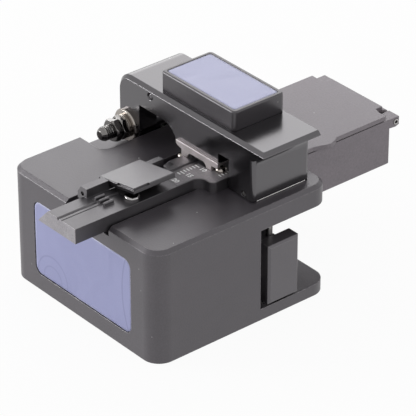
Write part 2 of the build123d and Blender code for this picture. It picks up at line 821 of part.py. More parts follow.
def arm_frame():
    """The press arm: plate, hinge ears, head over the blade and leg at the free end."""
    y = (arm_front, arm_rear)
    arm = front_view(arm_outline(), y) + along_y(ear_radius, y, hinge_x, hinge_z)
    fork_top = hinge_z + ear_radius + block_gap
    arm -= span((arm_left - 1, mouth_left + 1), (fork_front, fork_rear), (pocket_floor, fork_top))
    top_edges = arm.edges().filter_by(lambda e: abs((e @ 0.5).Z - arm_top) < 0.01)
    top_edges = top_edges.filter_by(lambda e: (e @ 0.5).X > arm_left + arm_end_radius + 1)
    arm = chamfer(top_edges.filter_by(lambda e: (e @ 0.5).Y < arm_rear - 0.1), arm_chamfer)
    rear_edges = arm.edges().filter_by(lambda e: (e @ 0.5).Y > arm_rear - 0.01)
    arm = chamfer(rear_edges.filter_by(lambda e: abs((e @ 0.5).Z - arm_top) < 0.01), arm_rear_edge)
    arm -= leg_trim()
    foot_edges = arm.edges().filter_by(lambda e: abs((e @ 0.5).Z - base_height) < 0.01)
    arm = chamfer(foot_edges.filter_by(lambda e: (e @ 0.5).X > leg_left - 0.1), foot_edge)
    arm -= blade_relief()
    for hole in arm_holes():
        arm -= hole
    return arm


def arm_holes():
    """The cutters of the arm's bores and screw holes."""
    front = arm_front - hole_over
    yield along_y(bush_radius + seat_gap, (front, arm_rear + hole_over), hinge_x, hinge_z)
    yield along_z(magnet_radius + seat_gap, (base_height - hole_over, magnet_top), strike_x, strike_y)
    yield along_y(set_screw_radius + seat_gap, (front, strike_y), strike_x, set_screw_z)
    hole_x, hole_z = hinge_x + hole_offset, arm_top - hole_drop
    yield along_y(hole_radius, (front, arm_front + hole_depth), hole_x, hole_z)
    sink = Cone(hole_radius, hole_radius + hole_sink, hole_sink)
    yield Pos(hole_x, arm_front + hole_sink / 2, hole_z) * Rot(90, 0, 0) * sink
    yield along_z(anvil_radius + seat_gap, (head_floor - hole_over, anvil_top), fibre_line, blade_plane)
    for x in bracket_screw_x:
        z = (head_floor - hole_over, head_floor + bracket_screw.reach)
        yield along_z(bracket_screw.radius + seat_gap, z, x, bracket_screw_y)
    for x in cap_screw_x:
        z = (arm_top - cap_screw.reach, arm_top + hole_over)
        yield along_z(cap_screw.radius + seat_gap, z, x, cap_middle_y)


def leg_trim():
    """What is cut from the leg: the corners beyond its rounded edges."""
    z = (base_height - hole_over, arm_top - lip_root_drop)
    blank = span((leg_left - 1, base_width + 1), (arm_front - 1, arm_rear + 1), z)
    kept = rounded_span((leg_left - 6, leg_right), (arm_front, arm_rear), z, leg_corner)
    root = span((leg_left - 1, leg_left + 2), (arm_front - 2, arm_rear + 2), (notch_roof, arm_top))
    return blank - kept - root


def blade_relief():
    """The notch in the leg's inner side that the parked blade reaches into."""
    return span((leg_left - 1, blade_rest_x + blade_radius), (blade_plane - 0.9, blade_plane + 0.9),
                (base_height - hole_over, fibre_height + 0.6))


def arm_magnet():
    """The magnet let into the leg's foot."""
    return along_z(magnet_radius, (base_height, magnet_top), strike_x, strike_y)


def magnet_set_screw():
    """The set screw in the leg's front face that clamps the magnet."""
    y = (arm_front + set_screw_sink, strike_y - magnet_radius)
    screw = along_y(set_screw_radius, y, strike_x, set_screw_z)
    socket = Pos(strike_x, set_screw_z) * RegularPolygon(set_screw_socket, 6)
    return screw - front_view(socket, (arm_front, arm_front + set_screw_sink + set_screw_radius))


def anvil():
    """The round-nosed anvil that snaps the scored fibre, over the blade."""
    pin = along_z(anvil_radius, (anvil_low, anvil_top), fibre_line, blade_plane)
    return fillet(pin.faces().sort_by(Axis.Z)[0].edges(), anvil_nose)


def arm_cap():
    """The raised cover on the arm, hollow below, with a rimmed recess on top for its plate."""
    cap = rounded_span((cap_left, cap_right), (cap_front, cap_rear), (arm_top, cap_top), cap_corner)
    cap = chamfer(cap.faces().sort_by(Axis.Z)[-1].edges(), cap_chamfer)
    cap -= cap_plate(cap_rim, cap_floor, cap_top + hole_over)
    roof = cap_floor - cap_wall
    x = (cap_left + cap_wall, cap_right - cap_wall)
    y = (cap_front + cap_wall, cap_rear - cap_wall)
    hollow = rounded_span(x, y, (arm_top - hole_over, roof), cap_corner - 0.8)
    for post_x in cap_screw_x:
        hollow -= along_z(cap_post, (arm_top - hole_over, roof), post_x, cap_middle_y)
    cap -= hollow
    for post_x in cap_screw_x:
        hole = (arm_top - hole_over, cap_top)
        seat = (cap_floor - cap_seat, cap_top)
        cap -= along_z(cap_screw.radius + seat_gap, hole, post_x, cap_middle_y)
        cap -= along_z(cap_screw.head_radius + seat_gap, seat, post_x, cap_middle_y)
    return cap


def cap_plate(margin, low, high):
    """A plate inside the cap's rim."""
    x = (cap_left + margin, cap_right - margin)
    y = (cap_front + margin, cap_rear - margin)
    return rounded_span(x, y, (low, high), cap_corner - 0.6)


def cap_label_plate():
    """The plain coloured plate on the cap."""
    return cap_plate(cap_rim + lay_gap, cap_floor, cap_floor + cap_plate_thickness)


def cap_screws():
    """Two screws under the plate that hold the cap."""
    seat = cap_floor - cap_seat
    screw = socket_screw(cap_screw, seat - arm_top)
    return Compound([Pos(x, cap_middle_y, seat) * screw for x in cap_screw_x])


def bracket_outline():
    """The bracket's front: a bar with two legs that straddle the fibre."""
    left, right = bracket_left, bracket_right
    top = head_floor + bracket_rise
    bar = head_floor - bracket_drop
    left_foot = base_height + left_leg_rise
    right_foot = fibre_height + lay_gap
    return closed(
        (left, top), (left, top - 1.0), (left + 0.7, bar), (left + 2.2, bar - 0.3), (left + 2.2, bar - 2.0),
        (left + 3.2, left_foot), (left + 4.8, left_foot), (left + 4.6, bar - 1.6), (left + 5.4, bar - 0.4),
        (left + 7.4, bar - 0.3), (left + 11.0, bar - 0.2), (left + 11.8, bar - 0.7),
        (left + 12.2, right_foot), (left + 14.2, right_foot), (left + 14.2, bar - 0.2),
        (right - 0.4, bar - 0.1), (right, bar + 0.3), (right, top))


def clamp_bracket():
    """The bent sheet bracket under the arm's head, its legs in front and its flange above the pad."""
    bracket = front_view(bracket_outline(), (bracket_front, bracket_front + bracket_sheet))
    bracket += span((bracket_left + 1.0, head_right), (bracket_front, flange_rear),
                    (head_floor - bracket_flange, head_floor))
    for x in bracket_screw_x:
        z = (head_floor - bracket_flange - hole_over, head_floor + hole_over)
        bracket -= along_z(bracket_screw.radius + seat_gap, z, x, bracket_screw_y)
    return bracket


def bracket_screws():
    """Two small screws through the bracket's flange into the head."""
    screw = Rot(180, 0, 0) * pan_screw(bracket_screw, bracket_flange)
    seat = head_floor - bracket_flange
    return Compound([Pos(x, bracket_screw_y, seat) * screw for x in bracket_screw_x])


def upper_clamp_pads():
    """The pads that press on the fibre, in front of the blade and behind it."""
    x = (fibre_line - pad_half, fibre_line + pad_half)
    low = fibre_height + lay_gap
    front = span(x, (arm_front + 0.3, flange_rear), (low, head_floor - bracket_flange))
    rear = span(x, (rest_front, rest_rear), (low, head_floor))
    front = fillet(front.edges().filter_by(Axis.Y).group_by(Axis.Z)[0], pad_edge)
    rear = fillet(rear.edges().filter_by(Axis.Y).group_by(Axis.Z)[0], pad_edge)
    return Compound([front, rear])


# Fibre holder and its clamp lid


def holder_top():
    """The holder seen from above, with the wing that widens it beside the blade."""
    outer, inner = (wing_right, wing_front), (holder_right, wing_front)
    flat = closed((holder_left, holder_front), (holder_right, holder_front), inner, outer,
                  (wing_right, wing_rear), (holder_right, wing_rear), (holder_right, holder_rear),
                  (holder_left, holder_rear))
    return rounded_at(rounded_at(flat, outer, wing_corner), inner, wing_root)


def holder_section():
    """The holder's section: a bar whose left shoulder is bevelled."""
    right = wing_right + 1
    return closed((holder_left, holder_under), (right, holder_under), (right, fibre_height),
                  (bevel_x, fibre_height), (holder_left, bevel_z))


def knuckle(y, right, high):
    """A knuckle of the holder for the lid's pin, between two Y limits, with a sloped left side."""
    left, low = knuckle_left, knuckle_low
    return front_view(closed((left, low), (right, low), (right, high), (left + knuckle_slope_run, high),
                             (left, high - knuckle_slope_drop)), y)


def fibre_holder():
    """The long machined bar that the fibre lies in."""
    bar = Pos(0, 0, holder_under) * extrude(holder_top(), fibre_height - holder_under)
    bar &= front_view(holder_section(), (holder_front - 1, holder_rear + 1))
    under_wing = (wing_front - 1, wing_rear + 1)
    bar -= span((holder_right, wing_right + 1), under_wing, (holder_under - 1, base_height))
    bar += span((holder_left, holder_right), (foot_front, holder_rear), (channel_floor, holder_under))
    bar += knuckle((knuckle_front, lid_front - recess_gap), knuckle_right, knuckle_top)
    bar += knuckle((lid_rear + recess_gap, knuckle_rear), rear_knuckle_right, rear_knuckle_top)
    for hollow in holder_hollows():
        bar -= hollow
    return bar


def holder_hollows():
    """The cutters of the holder's grooves, notches, recesses and holes."""
    left, over = holder_left - hole_over, fibre_height + hole_over
    ledge_left = fibre_line - ledge_half
    lid_bay = (lid_front - recess_gap, lid_rear + recess_gap)
    yield span((left, knuckle_right + recess_gap), lid_bay, (fibre_height - barrel_pocket, over))
    pin = (knuckle_front - hole_over, knuckle_rear + hole_over)
    yield along_y(lid_pin_radius + seat_gap, pin, lid_pin_x, lid_pin_z)
    notch = (bracket_front - 0.6, arm_front + notch_length)
    yield span((left, ledge_left), notch, (screw_seat_z, over))
    trough = (fibre_height - trough_depth, knuckle_top + hole_over)
    yield span((rear_knuckle_right, ledge_left), (lid_bay[1], trough_rear), trough)
    yield span((left, rear_knuckle_right + 0.1), (knuckle_rear, trough_rear), trough)
    yield vee(groove_depth, (holder_front - hole_over, holder_rear + hole_over))
    line_left = fibre_line + line_offset
    line = (fibre_height - line_depth, over)
    yield span((line_left, line_left + line_width), (holder_front - 1, comb_front), line)
    yield holder_pad(0)
    yield comb_base(0)
    yield scale_shape(over)
    yield along_z(stud_radius + seat_gap, (fibre_height - stud_sink, over), stud_x, stud_y)
    yield lower_pad(front_pad_start, front_pad_length, 0)
    for x in holder_screw_x:
        yield along_z(holder_screw.radius + seat_gap, (channel_floor - hole_over, over), x, holder_screw_y)


def scale_shape(top):
    """The scale's plate up to a height, following the holder's right edge and its wing."""
    right, wing = holder_right - scale_edge, wing_right - scale_edge
    step, rear = holder_right - scale_step, wing_rear - scale_rear_inset
    outer, inner = (wing, wing_front + scale_edge), (right, wing_front + scale_edge)
    flat = closed((scale_left, scale_front), (right, scale_front), inner, outer, (wing, rear), (step, rear),
                  (step, bracket_front), (scale_left, bracket_front))
    flat = rounded_at(rounded_at(flat, outer, wing_corner - scale_edge), inner, wing_root + scale_edge)
    low = fibre_height - scale_thickness
    return Pos(0, 0, low) * extrude(flat, top - low)


def scale_plate():
    """The thin plate that carries the length scale, level with the holder's top."""
    z = (fibre_height - hole_over, fibre_height + hole_over)
    hole = along_z(holder_screw.radius + seat_gap, z, holder_screw_x[1], holder_screw_y)
    return scale_shape(fibre_height) - hole


def holder_screws():
    """Two bright pan head screws that hold the holder down, beside the clamp bracket."""
    left, right = holder_screw_x
    low = Pos(left, holder_screw_y, screw_seat_z) * pan_screw(holder_screw, screw_seat_z - channel_floor)
    high = Pos(right, holder_screw_y, fibre_height) * pan_screw(holder_screw, fibre_height - channel_floor)
    return Compound([low, high])


def comb_base(gap):
    """The comb's foot, let into the holder, or its recess where gap is zero."""
    x = (fibre_line - comb_before + gap, fibre_line + comb_after - gap)
    y = (comb_front + gap, comb_front + comb_length - gap)
    return span(x, y, (fibre_height - comb_depth, fibre_height))


def guide_comb():
    """Three ridges that guide the fibre into the groove."""
    comb = comb_base(seat_gap)
    y = (comb_front + seat_gap, comb_front + comb_length - seat_gap)
    for place in (-0.5, 0.5, 1.5):
        x = fibre_line + place * comb_pitch
        ridge = span((x - comb_ridge / 2, x + comb_ridge / 2), y, (fibre_height, fibre_height + comb_height))
        comb += chamfer(ridge.faces().sort_by(Axis.Z)[-1].edges().filter_by(Axis.Y), comb_chamfer)
    return comb - vee(comb_groove, (comb_front - 1, comb_front + comb_length + 1))


def pad_under_lid(margin, z):
    """The outline of the pads under the lid, made smaller by the margin, between two heights."""
    x = (fibre_line - lid_pad_before + margin, fibre_line + lid_pad_after - margin)
    y = (lid_front + lid_pad_inset + margin, lid_rear - lid_pad_end - margin)
    return span(x, y, z)


def holder_pad(gap):
    """The lower pad under the lid, or its recess where gap is zero."""
    return pad_under_lid(gap, (fibre_height - pad_depth, fibre_height))


def lid_magnet():
    """The bright magnet stud under the lid's front corner."""
    stud = along_z(stud_radius, (fibre_height - stud_sink, fibre_height + stud_rise), stud_x, stud_y)
    return fillet(stud.faces().sort_by(Axis.Z)[-1].edges(), stud_round)


def lid_pin():
    """The pin that the lid turns on."""
    return along_y(lid_pin_radius, (knuckle_front + 0.9, knuckle_rear - 0.3), lid_pin_x, lid_pin_z)


opened = Pos(lid_pin_x, 0, lid_pin_z) * Rot(0, -lid_rest_angle, 0) * Pos(-lid_pin_x, 0, -lid_pin_z)


def clamp_lid():
    """The square clamp lid with its hinge barrel, standing slightly open."""
    y = (lid_front, lid_rear)
    lid = span((lid_left, lid_right), y, (lid_low, lid_closed_top))
    lid = chamfer(lid.faces().sort_by(Axis.Z)[-1].edges(), lid_chamfer)
    step = (lid_closed_top - lid_rebate, lid_closed_top + hole_over)
    front = (lid_front - hole_over, lid_front + lid_rebate)
    lid -= span((lid_left + front_rebate_start, lid_right + hole_over), front, step)
    side = (lid_right - lid_rebate, lid_right + hole_over)
    lid -= span(side, (lid_front - hole_over, lid_front + side_rebate_length), step)
    lid += along_y(barrel_radius, y, lid_pin_x, lid_pin_z)
    lid += span((lid_pin_x - barrel_radius, lid_pin_x + barrel_radius), y, (lid_pin_z, lid_low))
    bore = (lid_front - hole_over, lid_rear + hole_over)
    lid -= along_y(lid_pin_radius + running_gap, bore, lid_pin_x, lid_pin_z)
    lid -= along_z(keeper_radius + seat_gap, (lid_low - hole_over, lid_low + keeper_sink), stud_x, stud_y)
    return opened * lid


def lid_pad():
    """The soft pad under the lid that holds the fibre in its groove."""
    return opened * pad_under_lid(lid_pad_margin, (fibre_height + lay_gap, lid_low))


def lid_keeper():
    """The steel disc in the lid's underside that the magnet stud pulls on."""
    return opened * along_z(keeper_radius, (lid_low + seat_gap, lid_low + keeper_sink), stud_x, stud_y)


# Carriage, knob and blade


def carriage():
    """The block that slides on the rail, with a flange for the knob and a boss for the blade plate."""
    front = way_front + carriage_wall_gap
    block = span((carriage_left, carriage_right), (front, carriage_rear), (carriage_low, carriage_high))
    block = chamfer(block.edges().filter_by(Axis.X), carriage_chamfer)
    rear = carriage_rear - hole_over
    block += span((flange_left, carriage_right), (rear, flange_end), (carriage_low, flange_high))
    boss = (blade_rest_x - boss_half, blade_rest_x + boss_half)
    block += span(boss, (rear, plate_front), (boss_low, boss_high))
    block -= dovetail((carriage_left - hole_over, carriage_right + hole_over), slide_gap)
    pin_hole = (carriage_high - guide_pin_sink, carriage_high + hole_over)
    block -= along_z(guide_pin_radius + seat_gap, pin_hole, guide_pin_x, guide_pin_y)
    for z in knob_screw_z:
        x = (flange_left - hole_over, carriage_right + hole_over)
        block -= along_x(knob_screw.radius + seat_gap, x, knob_screw_y, z)
    for z in plate_screw_z:
        y = (plate_front - plate_screw.reach, plate_front + hole_over)
        block -= along_y(plate_screw.radius + seat_gap, y, blade_rest_x, z)
    return block


def guide_pin():
    """The bright pin on the carriage that runs in the roof's groove."""
    pin = along_z(guide_pin_radius, (carriage_high - guide_pin_sink, guide_pin_top), guide_pin_x, guide_pin_y)
    return chamfer(pin.faces().sort_by(Axis.Z)[-1].edges(), 0.3)


def slider_knob():
    """The finger pad on the carriage's end."""
    knob = span((carriage_right, knob_face), (knob_front, knob_rear), (knob_low, knob_high))
    knob = chamfer(knob.faces().sort_by(Axis.X)[-1].edges(), knob_chamfer)
    for z in knob_screw_z:
        x = (carriage_right - hole_over, carriage_right + knob_screw.reach)
        knob -= along_x(knob_screw.radius + seat_gap, x, knob_screw_y, z)
    return knob


def knob_screws():
    """Two screws through the carriage's flange into the knob."""
    screw = Rot(0, -90, 0) * socket_screw(knob_screw, end_flange)
    return Compound([Pos(flange_left, knob_screw_y, z) * screw for z in knob_screw_z])


def blade_plate():
    """The upright plate that carries the blade up into the slot."""
    y = (plate_front, plate_front + plate_thickness)
    plate = span((blade_rest_x - boss_half, blade_rest_x + boss_half), y, (boss_low, blade_centre_z))
    plate += along_y(boss_half, y, blade_rest_x, blade_centre_z)
    through = (plate_front - hole_over, plate_front + plate_thickness + hole_over)
    plate -= along_y(axle_radius + seat_gap, through, blade_rest_x, blade_centre_z)
    for z in plate_screw_z:
        plate -= along_y(plate_screw.radius + seat_gap, through, blade_rest_x, z)
    return plate


def plate_screws():
    """Two screws that hold the blade plate to the carriage."""
    screw = Rot(-90, 0, 0) * socket_screw(plate_screw, plate_thickness)
    return Compound([Pos(blade_rest_x, plate_front + plate_thickness, z) * screw for z in plate_screw_z])


def blade_axle():
    """The shouldered screw that the blade turns on."""
    face = blade_plane - blade_thickness / 2 - running_gap
    axle = along_y(axle_radius, (face, plate_front + plate_thickness), blade_rest_x, blade_centre_z)
    axle += along_y(axle_head_radius, (face - axle_head, face), blade_rest_x, blade_centre_z)
    socket = Pos(blade_rest_x, blade_centre_z) * RegularPolygon(axle_socket, 6)
    return axle - front_view(socket, (face - axle_head, face + axle_socket))


def blade():
    """The round blade, bevelled to its edge from both sides."""
    half = blade_thickness / 2
    flat = blade_radius - blade_bevel
    section = closed((0, -half), (flat, -half), (blade_radius, 0), (flat, half), (0, half))
    disc = revolve(Plane.XY * section, Axis.Y)
    disc -= Rot(90, 0, 0) * Cylinder(axle_radius + running_gap, 2 * blade_thickness)
    return Pos(blade_rest_x, blade_plane, blade_centre_z) * disc


def blade_hub():
    """The collar behind the blade, notched at each of its edge positions."""
    start = blade_plane + blade_thickness / 2
    hub = along_y(hub_radius, (start, start + hub_thickness), blade_rest_x, blade_centre_z)
    hub -= along_y(axle_radius + running_gap, (start - 1, start + 2), blade_rest_x, blade_centre_z)
    notch = Pos(hub_radius, 0, 0) * Box(notch_depth * 2, 3 * hub_thickness, notch_width)
    for step in range(edge_positions):
        turn = Rot(0, step * 360 / edge_positions, 0)
        hub -= Pos(blade_rest_x, start, blade_centre_z) * turn * notch
    return hub


# Scrap bin


def scrap_bin():
    """The open-topped box on the housing's rear, with ears for its lid's pin."""
    box = span((bin_left, bin_right), (base_depth, bin_rear), (bin_low, bin_rim))
    box = chamfer(box.faces().sort_by(Axis.Z)[0].edges(), bin_chamfer)
    inner_x = (bin_left + bin_wall, bin_right - bin_wall)
    inner_y = (base_depth + bin_wall, bin_rear - bin_wall)
    box -= span(inner_x, inner_y, (bin_low + bin_wall, bin_rim + hole_over))
    root = bin_rear - bin_ear_root
    low = bin_pin_z - bin_ear_drop
    ear = closed((root, bin_ear_top), (bin_ear_rear, bin_ear_top), (bin_ear_rear, low + 0.4),
                 (bin_ear_rear - 1.2, low), (bin_rear, low + 0.2), (root, low + 0.2))
    box += side_view(ear, (bin_left, bin_left + left_ear_width))
    box += side_view(ear, (bin_right - right_ear_width, bin_right))
    pin = (bin_left - hole_over, bin_right + hole_over)
    box -= along_x(bin_pin_radius + seat_gap, pin, bin_pin_y, bin_pin_z)
    for x in bin_screw_x:
        wall = (base_depth - hole_over, base_depth + bin_wall + hole_over)
        box -= along_y(bin_screw.radius + seat_gap, wall, x, bin_screw_z)
    return box


def bin_screws():
    """Two screws through the bin's front wall into the housing."""
    screw = Rot(-90, 0, 0) * pan_screw(bin_screw, bin_wall)
    return Compound([Pos(x, base_depth + bin_wall, bin_screw_z) * screw for x in bin_screw_x])


def bin_pin():
    """The rolled tube pin of the bin lid."""
    x = (bin_left - lay_gap, bin_right + recess_gap)
    pin = along_x(bin_pin_radius, x, bin_pin_y, bin_pin_z)
    return pin - along_x(bin_pin_bore, (x[0] - 1, x[1] + 1), bin_pin_y, bin_pin_z)


def bin_lid_outline():
    """The bin's lid seen from above, with the finger tab on its right edge."""
    start = (bin_right, tab_front)
    end = (bin_right, tab_front + tab_length)
    peak = (bin_right + tab_reach, tab_front + 0.62 * tab_length)
    tab = Spline(start, peak, end, tangents=[(0.2, 1), (-0.7, 1)])
    side = bin_lid_side_rear
    rest = Polyline(end, (bin_right, side), (tongue_right + tongue_flare, side), (tongue_right, side + 0.6),
                    (tongue_right, bin_lid_rear), (tongue_left, bin_lid_rear), (tongue_left, side + 0.6),
                    (tongue_left - tongue_flare, side), (bin_left, side), (bin_left, bin_lid_front),
                    (bin_right, bin_lid_front), start)
    return make_face(Wire([tab, *rest.edges()]))


def bin_lid():
    """The bin's lid: a plate with a finger tab, a hinge tongue and a raised middle that lies on the rim."""
    plate = Pos(0, 0, bin_lid_low) * extrude(bin_lid_outline(), bin_lid_thickness)
    top_edges = plate.faces().sort_by(Axis.Z)[-1].edges()
    front_edge = top_edges.filter_by(lambda e: (e @ 0.5).Y < bin_lid_front + 0.1)
    left_edge = top_edges.filter_by(lambda e: (e @ 0.5).X < bin_left + 0.1)
    plate = chamfer(front_edge + left_edge, bin_lid_chamfer)
    middle_x = (bin_left + bin_lid_margin, bin_right - bin_lid_margin)
    middle_y = (bin_lid_front + bin_lid_margin, bin_lid_side_rear - recess_gap)
    plate += span(middle_x, middle_y, (bin_rim, bin_lid_low))
    root = bin_lid_low + 0.01
    leaf = closed((bin_rear + recess_gap, root), (bin_pin_y - bin_barrel_radius, bin_pin_z),
                  (bin_pin_y, bin_pin_z), (bin_lid_rear, bin_lid_top - 0.3), (bin_lid_rear - 0.3, root))
    x = (tongue_left + lay_gap, tongue_right - lay_gap)
    lid = plate + side_view(leaf, x) + along_x(bin_barrel_radius, x, bin_pin_y, bin_pin_z)
    return lid - along_x(bin_pin_radius + running_gap, (bin_left, bin_right), bin_pin_y, bin_pin_z)


pieces = {
    "base_housing": base_housing,
    "front_label_plate": front_label_plate,
    "base_mat": lambda: base_mat(lay_gap),
    "slide_rail": slide_rail,
    "rail_screws": rail_screws,
    "strike_plate": strike_plate,
    "rear_fibre_rest": rear_fibre_rest,
    "rest_screws": rest_screws,
    "lower_clamp_pads": lower_clamp_pads,
    "hinge_block": hinge_block,
    "hinge_block_screws": hinge_block_screws,
    "hinge_shaft": hinge_shaft,
    "hinge_nuts": hinge_nuts,
    "hinge_sleeve": hinge_sleeve,
    "fibre_holder": fibre_holder,
    "holder_screws": holder_screws,
    "scale_plate": scale_plate,
    "guide_comb": guide_comb,
    "holder_pad": lambda: holder_pad(seat_gap),
    "lid_magnet": lid_magnet,
    "lid_pin": lid_pin,
    "scrap_bin": scrap_bin,
    "bin_screws": bin_screws,
    "bin_pin": bin_pin,
    "arm_frame": arm_frame,
    "hinge_bushes": hinge_bushes,
    "arm_magnet": arm_magnet,
    "magnet_set_screw": magnet_set_screw,
    "anvil": anvil,
    "arm_cap": arm_cap,
    "cap_label_plate": cap_label_plate,
    "cap_screws": cap_screws,
    "clamp_bracket": clamp_bracket,
    "bracket_screws": bracket_screws,
    "upper_clamp_pads": upper_clamp_pads,
    "carriage": carriage,
    "guide_pin": guide_pin,
    "slider_knob": slider_knob,
    "knob_screws": knob_screws,
    "blade_plate": blade_plate,
    "plate_screws": plate_screws,
    "blade_axle": blade_axle,
    "blade": blade,
    "blade_hub": blade_hub,
    "clamp_lid": clamp_lid,
    "lid_pad": lid_pad,
    "lid_keeper": lid_keeper,
    "bin_lid": bin_lid,
}

for name, make in pieces.items():
    save(name, make())
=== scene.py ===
import math

import bpy
from mathutils import Matrix, Vector


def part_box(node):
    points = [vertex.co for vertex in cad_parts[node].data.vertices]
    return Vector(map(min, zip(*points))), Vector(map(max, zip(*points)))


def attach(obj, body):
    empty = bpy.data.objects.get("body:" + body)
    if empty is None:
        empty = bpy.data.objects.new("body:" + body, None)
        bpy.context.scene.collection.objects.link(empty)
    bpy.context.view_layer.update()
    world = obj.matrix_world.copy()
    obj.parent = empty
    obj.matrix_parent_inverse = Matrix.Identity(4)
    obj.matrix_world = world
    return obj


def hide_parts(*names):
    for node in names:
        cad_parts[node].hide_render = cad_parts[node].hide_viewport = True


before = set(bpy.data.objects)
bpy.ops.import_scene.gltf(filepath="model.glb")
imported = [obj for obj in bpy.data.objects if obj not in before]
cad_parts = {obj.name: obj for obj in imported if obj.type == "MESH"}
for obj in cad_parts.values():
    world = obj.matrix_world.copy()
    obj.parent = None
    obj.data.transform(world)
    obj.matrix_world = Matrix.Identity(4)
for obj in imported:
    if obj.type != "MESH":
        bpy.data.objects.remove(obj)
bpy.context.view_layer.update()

MM = 0.001

# Places on the part that the marks and the trim are set out from, in millimetres in the part's frame
HOLDER_TOP = 36.0
HOLDER_END = -39.0
SCALE_LEFT = 5.62
SCALE_FRONT = -1.9
WING_LEFT = 13.35
WING_FRONT = 5.4

# The arm's lip: how far it reaches, how much it rises over that reach, and its root below the arm's top
LIP_REACH = 4.0
LIP_RISE = 2.4
LIP_ROOT = 3.6

# Bright bead at the leg's foot, painting the highlight of its chamfered edge, in millimetres
RIM_RADIUS = 0.2
RIM_PROUD = 0.03
RIM_CLEARANCE = 0.02
RIM_END_GAP = 1.35
RIM_ROUNDING = 0.15

# Plug in the small hole of the arm's front, in millimetres
PLUG_RADIUS = 0.86
PLUG_LENGTH = 2.1
PLUG_RECESS = 0.2
PLUG_ROUNDING = 0.3
HOLE_FROM_HINGE = 9.4
HOLE_BELOW_TOP = 2.4

# Print on the scale, in millimetres
FOIL_RISE = 0.03
FOIL_OVERHANG = 0.82
INK_THICKNESS = 0.02
INK_EASE_WIDTH = 0.02
INK_EASE_RISE = 0.006

# Ticks from the front to the rear: pitch, then each one's length, and on the wing its width too
SCALE_PITCH = 0.985
SCALE_TICK_WIDTH = 0.42
SCALE_TICKS = (1.3, 1.7, 1.3, 1.3, 1.3, 1.3, 1.7)
WING_PITCH = 0.97
WING_TICKS = 4 * [(1.05, 0.34)] + [(2.0, 0.24)]

# Numbers on the scale: each one's text and middle, their size and how much their strokes are thickened
NUMBERS = (("20", 8.5, -4.9), ("15", 8.65, -0.5), ("10", 8.8, 4.0))
NUMBER_SIZE = 2.0
NUMBER_WEIGHT = 0.09

# Vertices nearer than this are one, in millimetres
WELD_DISTANCE = 0.002

# Angles in degrees: faces flatter than the first are one, and an edge is sharper than the others
FLAT_ANGLE = 0.5
EDGE_ANGLE = 40.0
PIN_END_ANGLE = 60.0
SMOOTH_ANGLE = 30.0

# Edges that are visibly rounded: node, body, width of the rounding in millimetres, steps
ROUNDED_NODES = (
    ("arm_frame", "arm", 0.25, 3),
    ("arm_cap", "arm", 0.2, 2),
    ("slider_knob", "carriage", 0.3, 3),
)

# Painted shade of soft creases in the front film: the shade's tone and half its width in millimetres
CREASE_SHADE_TONE = (106, 108, 146)
CREASE_HALF_WIDTH = 0.35

# Tint of the skins' reflections, tone of scuffed metal edges with their painted highlight, and how far a
# metal's roughness varies
SKIN_TINT = (0.99, 0.955, 1.0, 1.0)
METAL_EDGE_HIGHLIGHT_TONE = 240
METAL_SPREAD = 0.06

# How much of the floor's tone is its own glow, and how strongly the surround lights the object
FLOOR_GLOW_SHARE = 0.94
SURROUND_LIGHT = 0.6


# Shader effects shared by the finishes


def effect(name, inputs, outputs):
    """An empty node group with named inputs and outputs, and its two end nodes."""
    group = bpy.data.node_groups.new(name, "ShaderNodeTree")
    for label, kind, value in inputs:
        socket = group.interface.new_socket(label, in_out="INPUT", socket_type=kind)
        socket.default_value = value
    for label, kind in outputs:
        group.interface.new_socket(label, in_out="OUTPUT", socket_type=kind)
    start = group.nodes.new("NodeGroupInput")
    end = group.nodes.new("NodeGroupOutput")
    return group, start, end


def node(tree, kind, **values):
    """A new node whose properties and inputs are set by name."""
    made = tree.nodes.new(kind)
    for label, value in values.items():
        if label in made.inputs:
            made.inputs[label].default_value = value
        else:
            setattr(made, label, value)
    return made


def calculate(tree, operation, first, second):
    """A Math node; either side is a number or a socket."""
    made = node(tree, "ShaderNodeMath", operation=operation)
    for place, value in enumerate((first, second)):
        if isinstance(value, (int, float)):
            made.inputs[place].default_value = value
        else:
            tree.links.new(value, made.inputs[place])
    return made.outputs[0]


def make_edge_wear_and_highlight():
    """Marks where a surface turns sharply, broken up into patches: scuffed edges and a painted highlight
    along them.
    """
    group, start, end = effect(
        "edge wear",
        [("Width", "NodeSocketFloat", 0.0003), ("Amount", "NodeSocketFloat", 0.5),
         ("Breakup", "NodeSocketFloat", 900.0)],
        [("Mask", "NodeSocketFloat"), ("Normal", "NodeSocketVector")])
    links = group.links
    bevel = node(group, "ShaderNodeBevel", samples=6)
    links.new(start.outputs["Width"], bevel.inputs["Radius"])
    geometry = node(group, "ShaderNodeNewGeometry")
    turn = node(group, "ShaderNodeVectorMath", operation="DOT_PRODUCT")
    links.new(bevel.outputs[0], turn.inputs[0])
    links.new(geometry.outputs["Normal"], turn.inputs[1])
    bend = node(group, "ShaderNodeMapRange", **{"From Min": 0.985, "From Max": 0.8})
    links.new(turn.outputs["Value"], bend.inputs["Value"])
    place = node(group, "ShaderNodeTexCoord")
    patches = node(group, "ShaderNodeTexNoise", Detail=3.0, Roughness=0.6)
    links.new(place.outputs["Object"], patches.inputs["Vector"])
    links.new(start.outputs["Breakup"], patches.inputs["Scale"])
    rubbed_and_lit = node(group, "ShaderNodeMapRange", **{"From Min": 0.35, "From Max": 0.65})
    links.new(patches.outputs["Fac"], rubbed_and_lit.inputs["Value"])
    # The kept edge mask stands for scuffing and for a painted highlight along the edge
    kept = calculate(group, "MULTIPLY", bend.outputs[0], rubbed_and_lit.outputs[0])
    links.new(calculate(group, "MULTIPLY", kept, start.outputs["Amount"]), end.inputs["Mask"])
    links.new(bevel.outputs[0], end.inputs["Normal"])
    return group


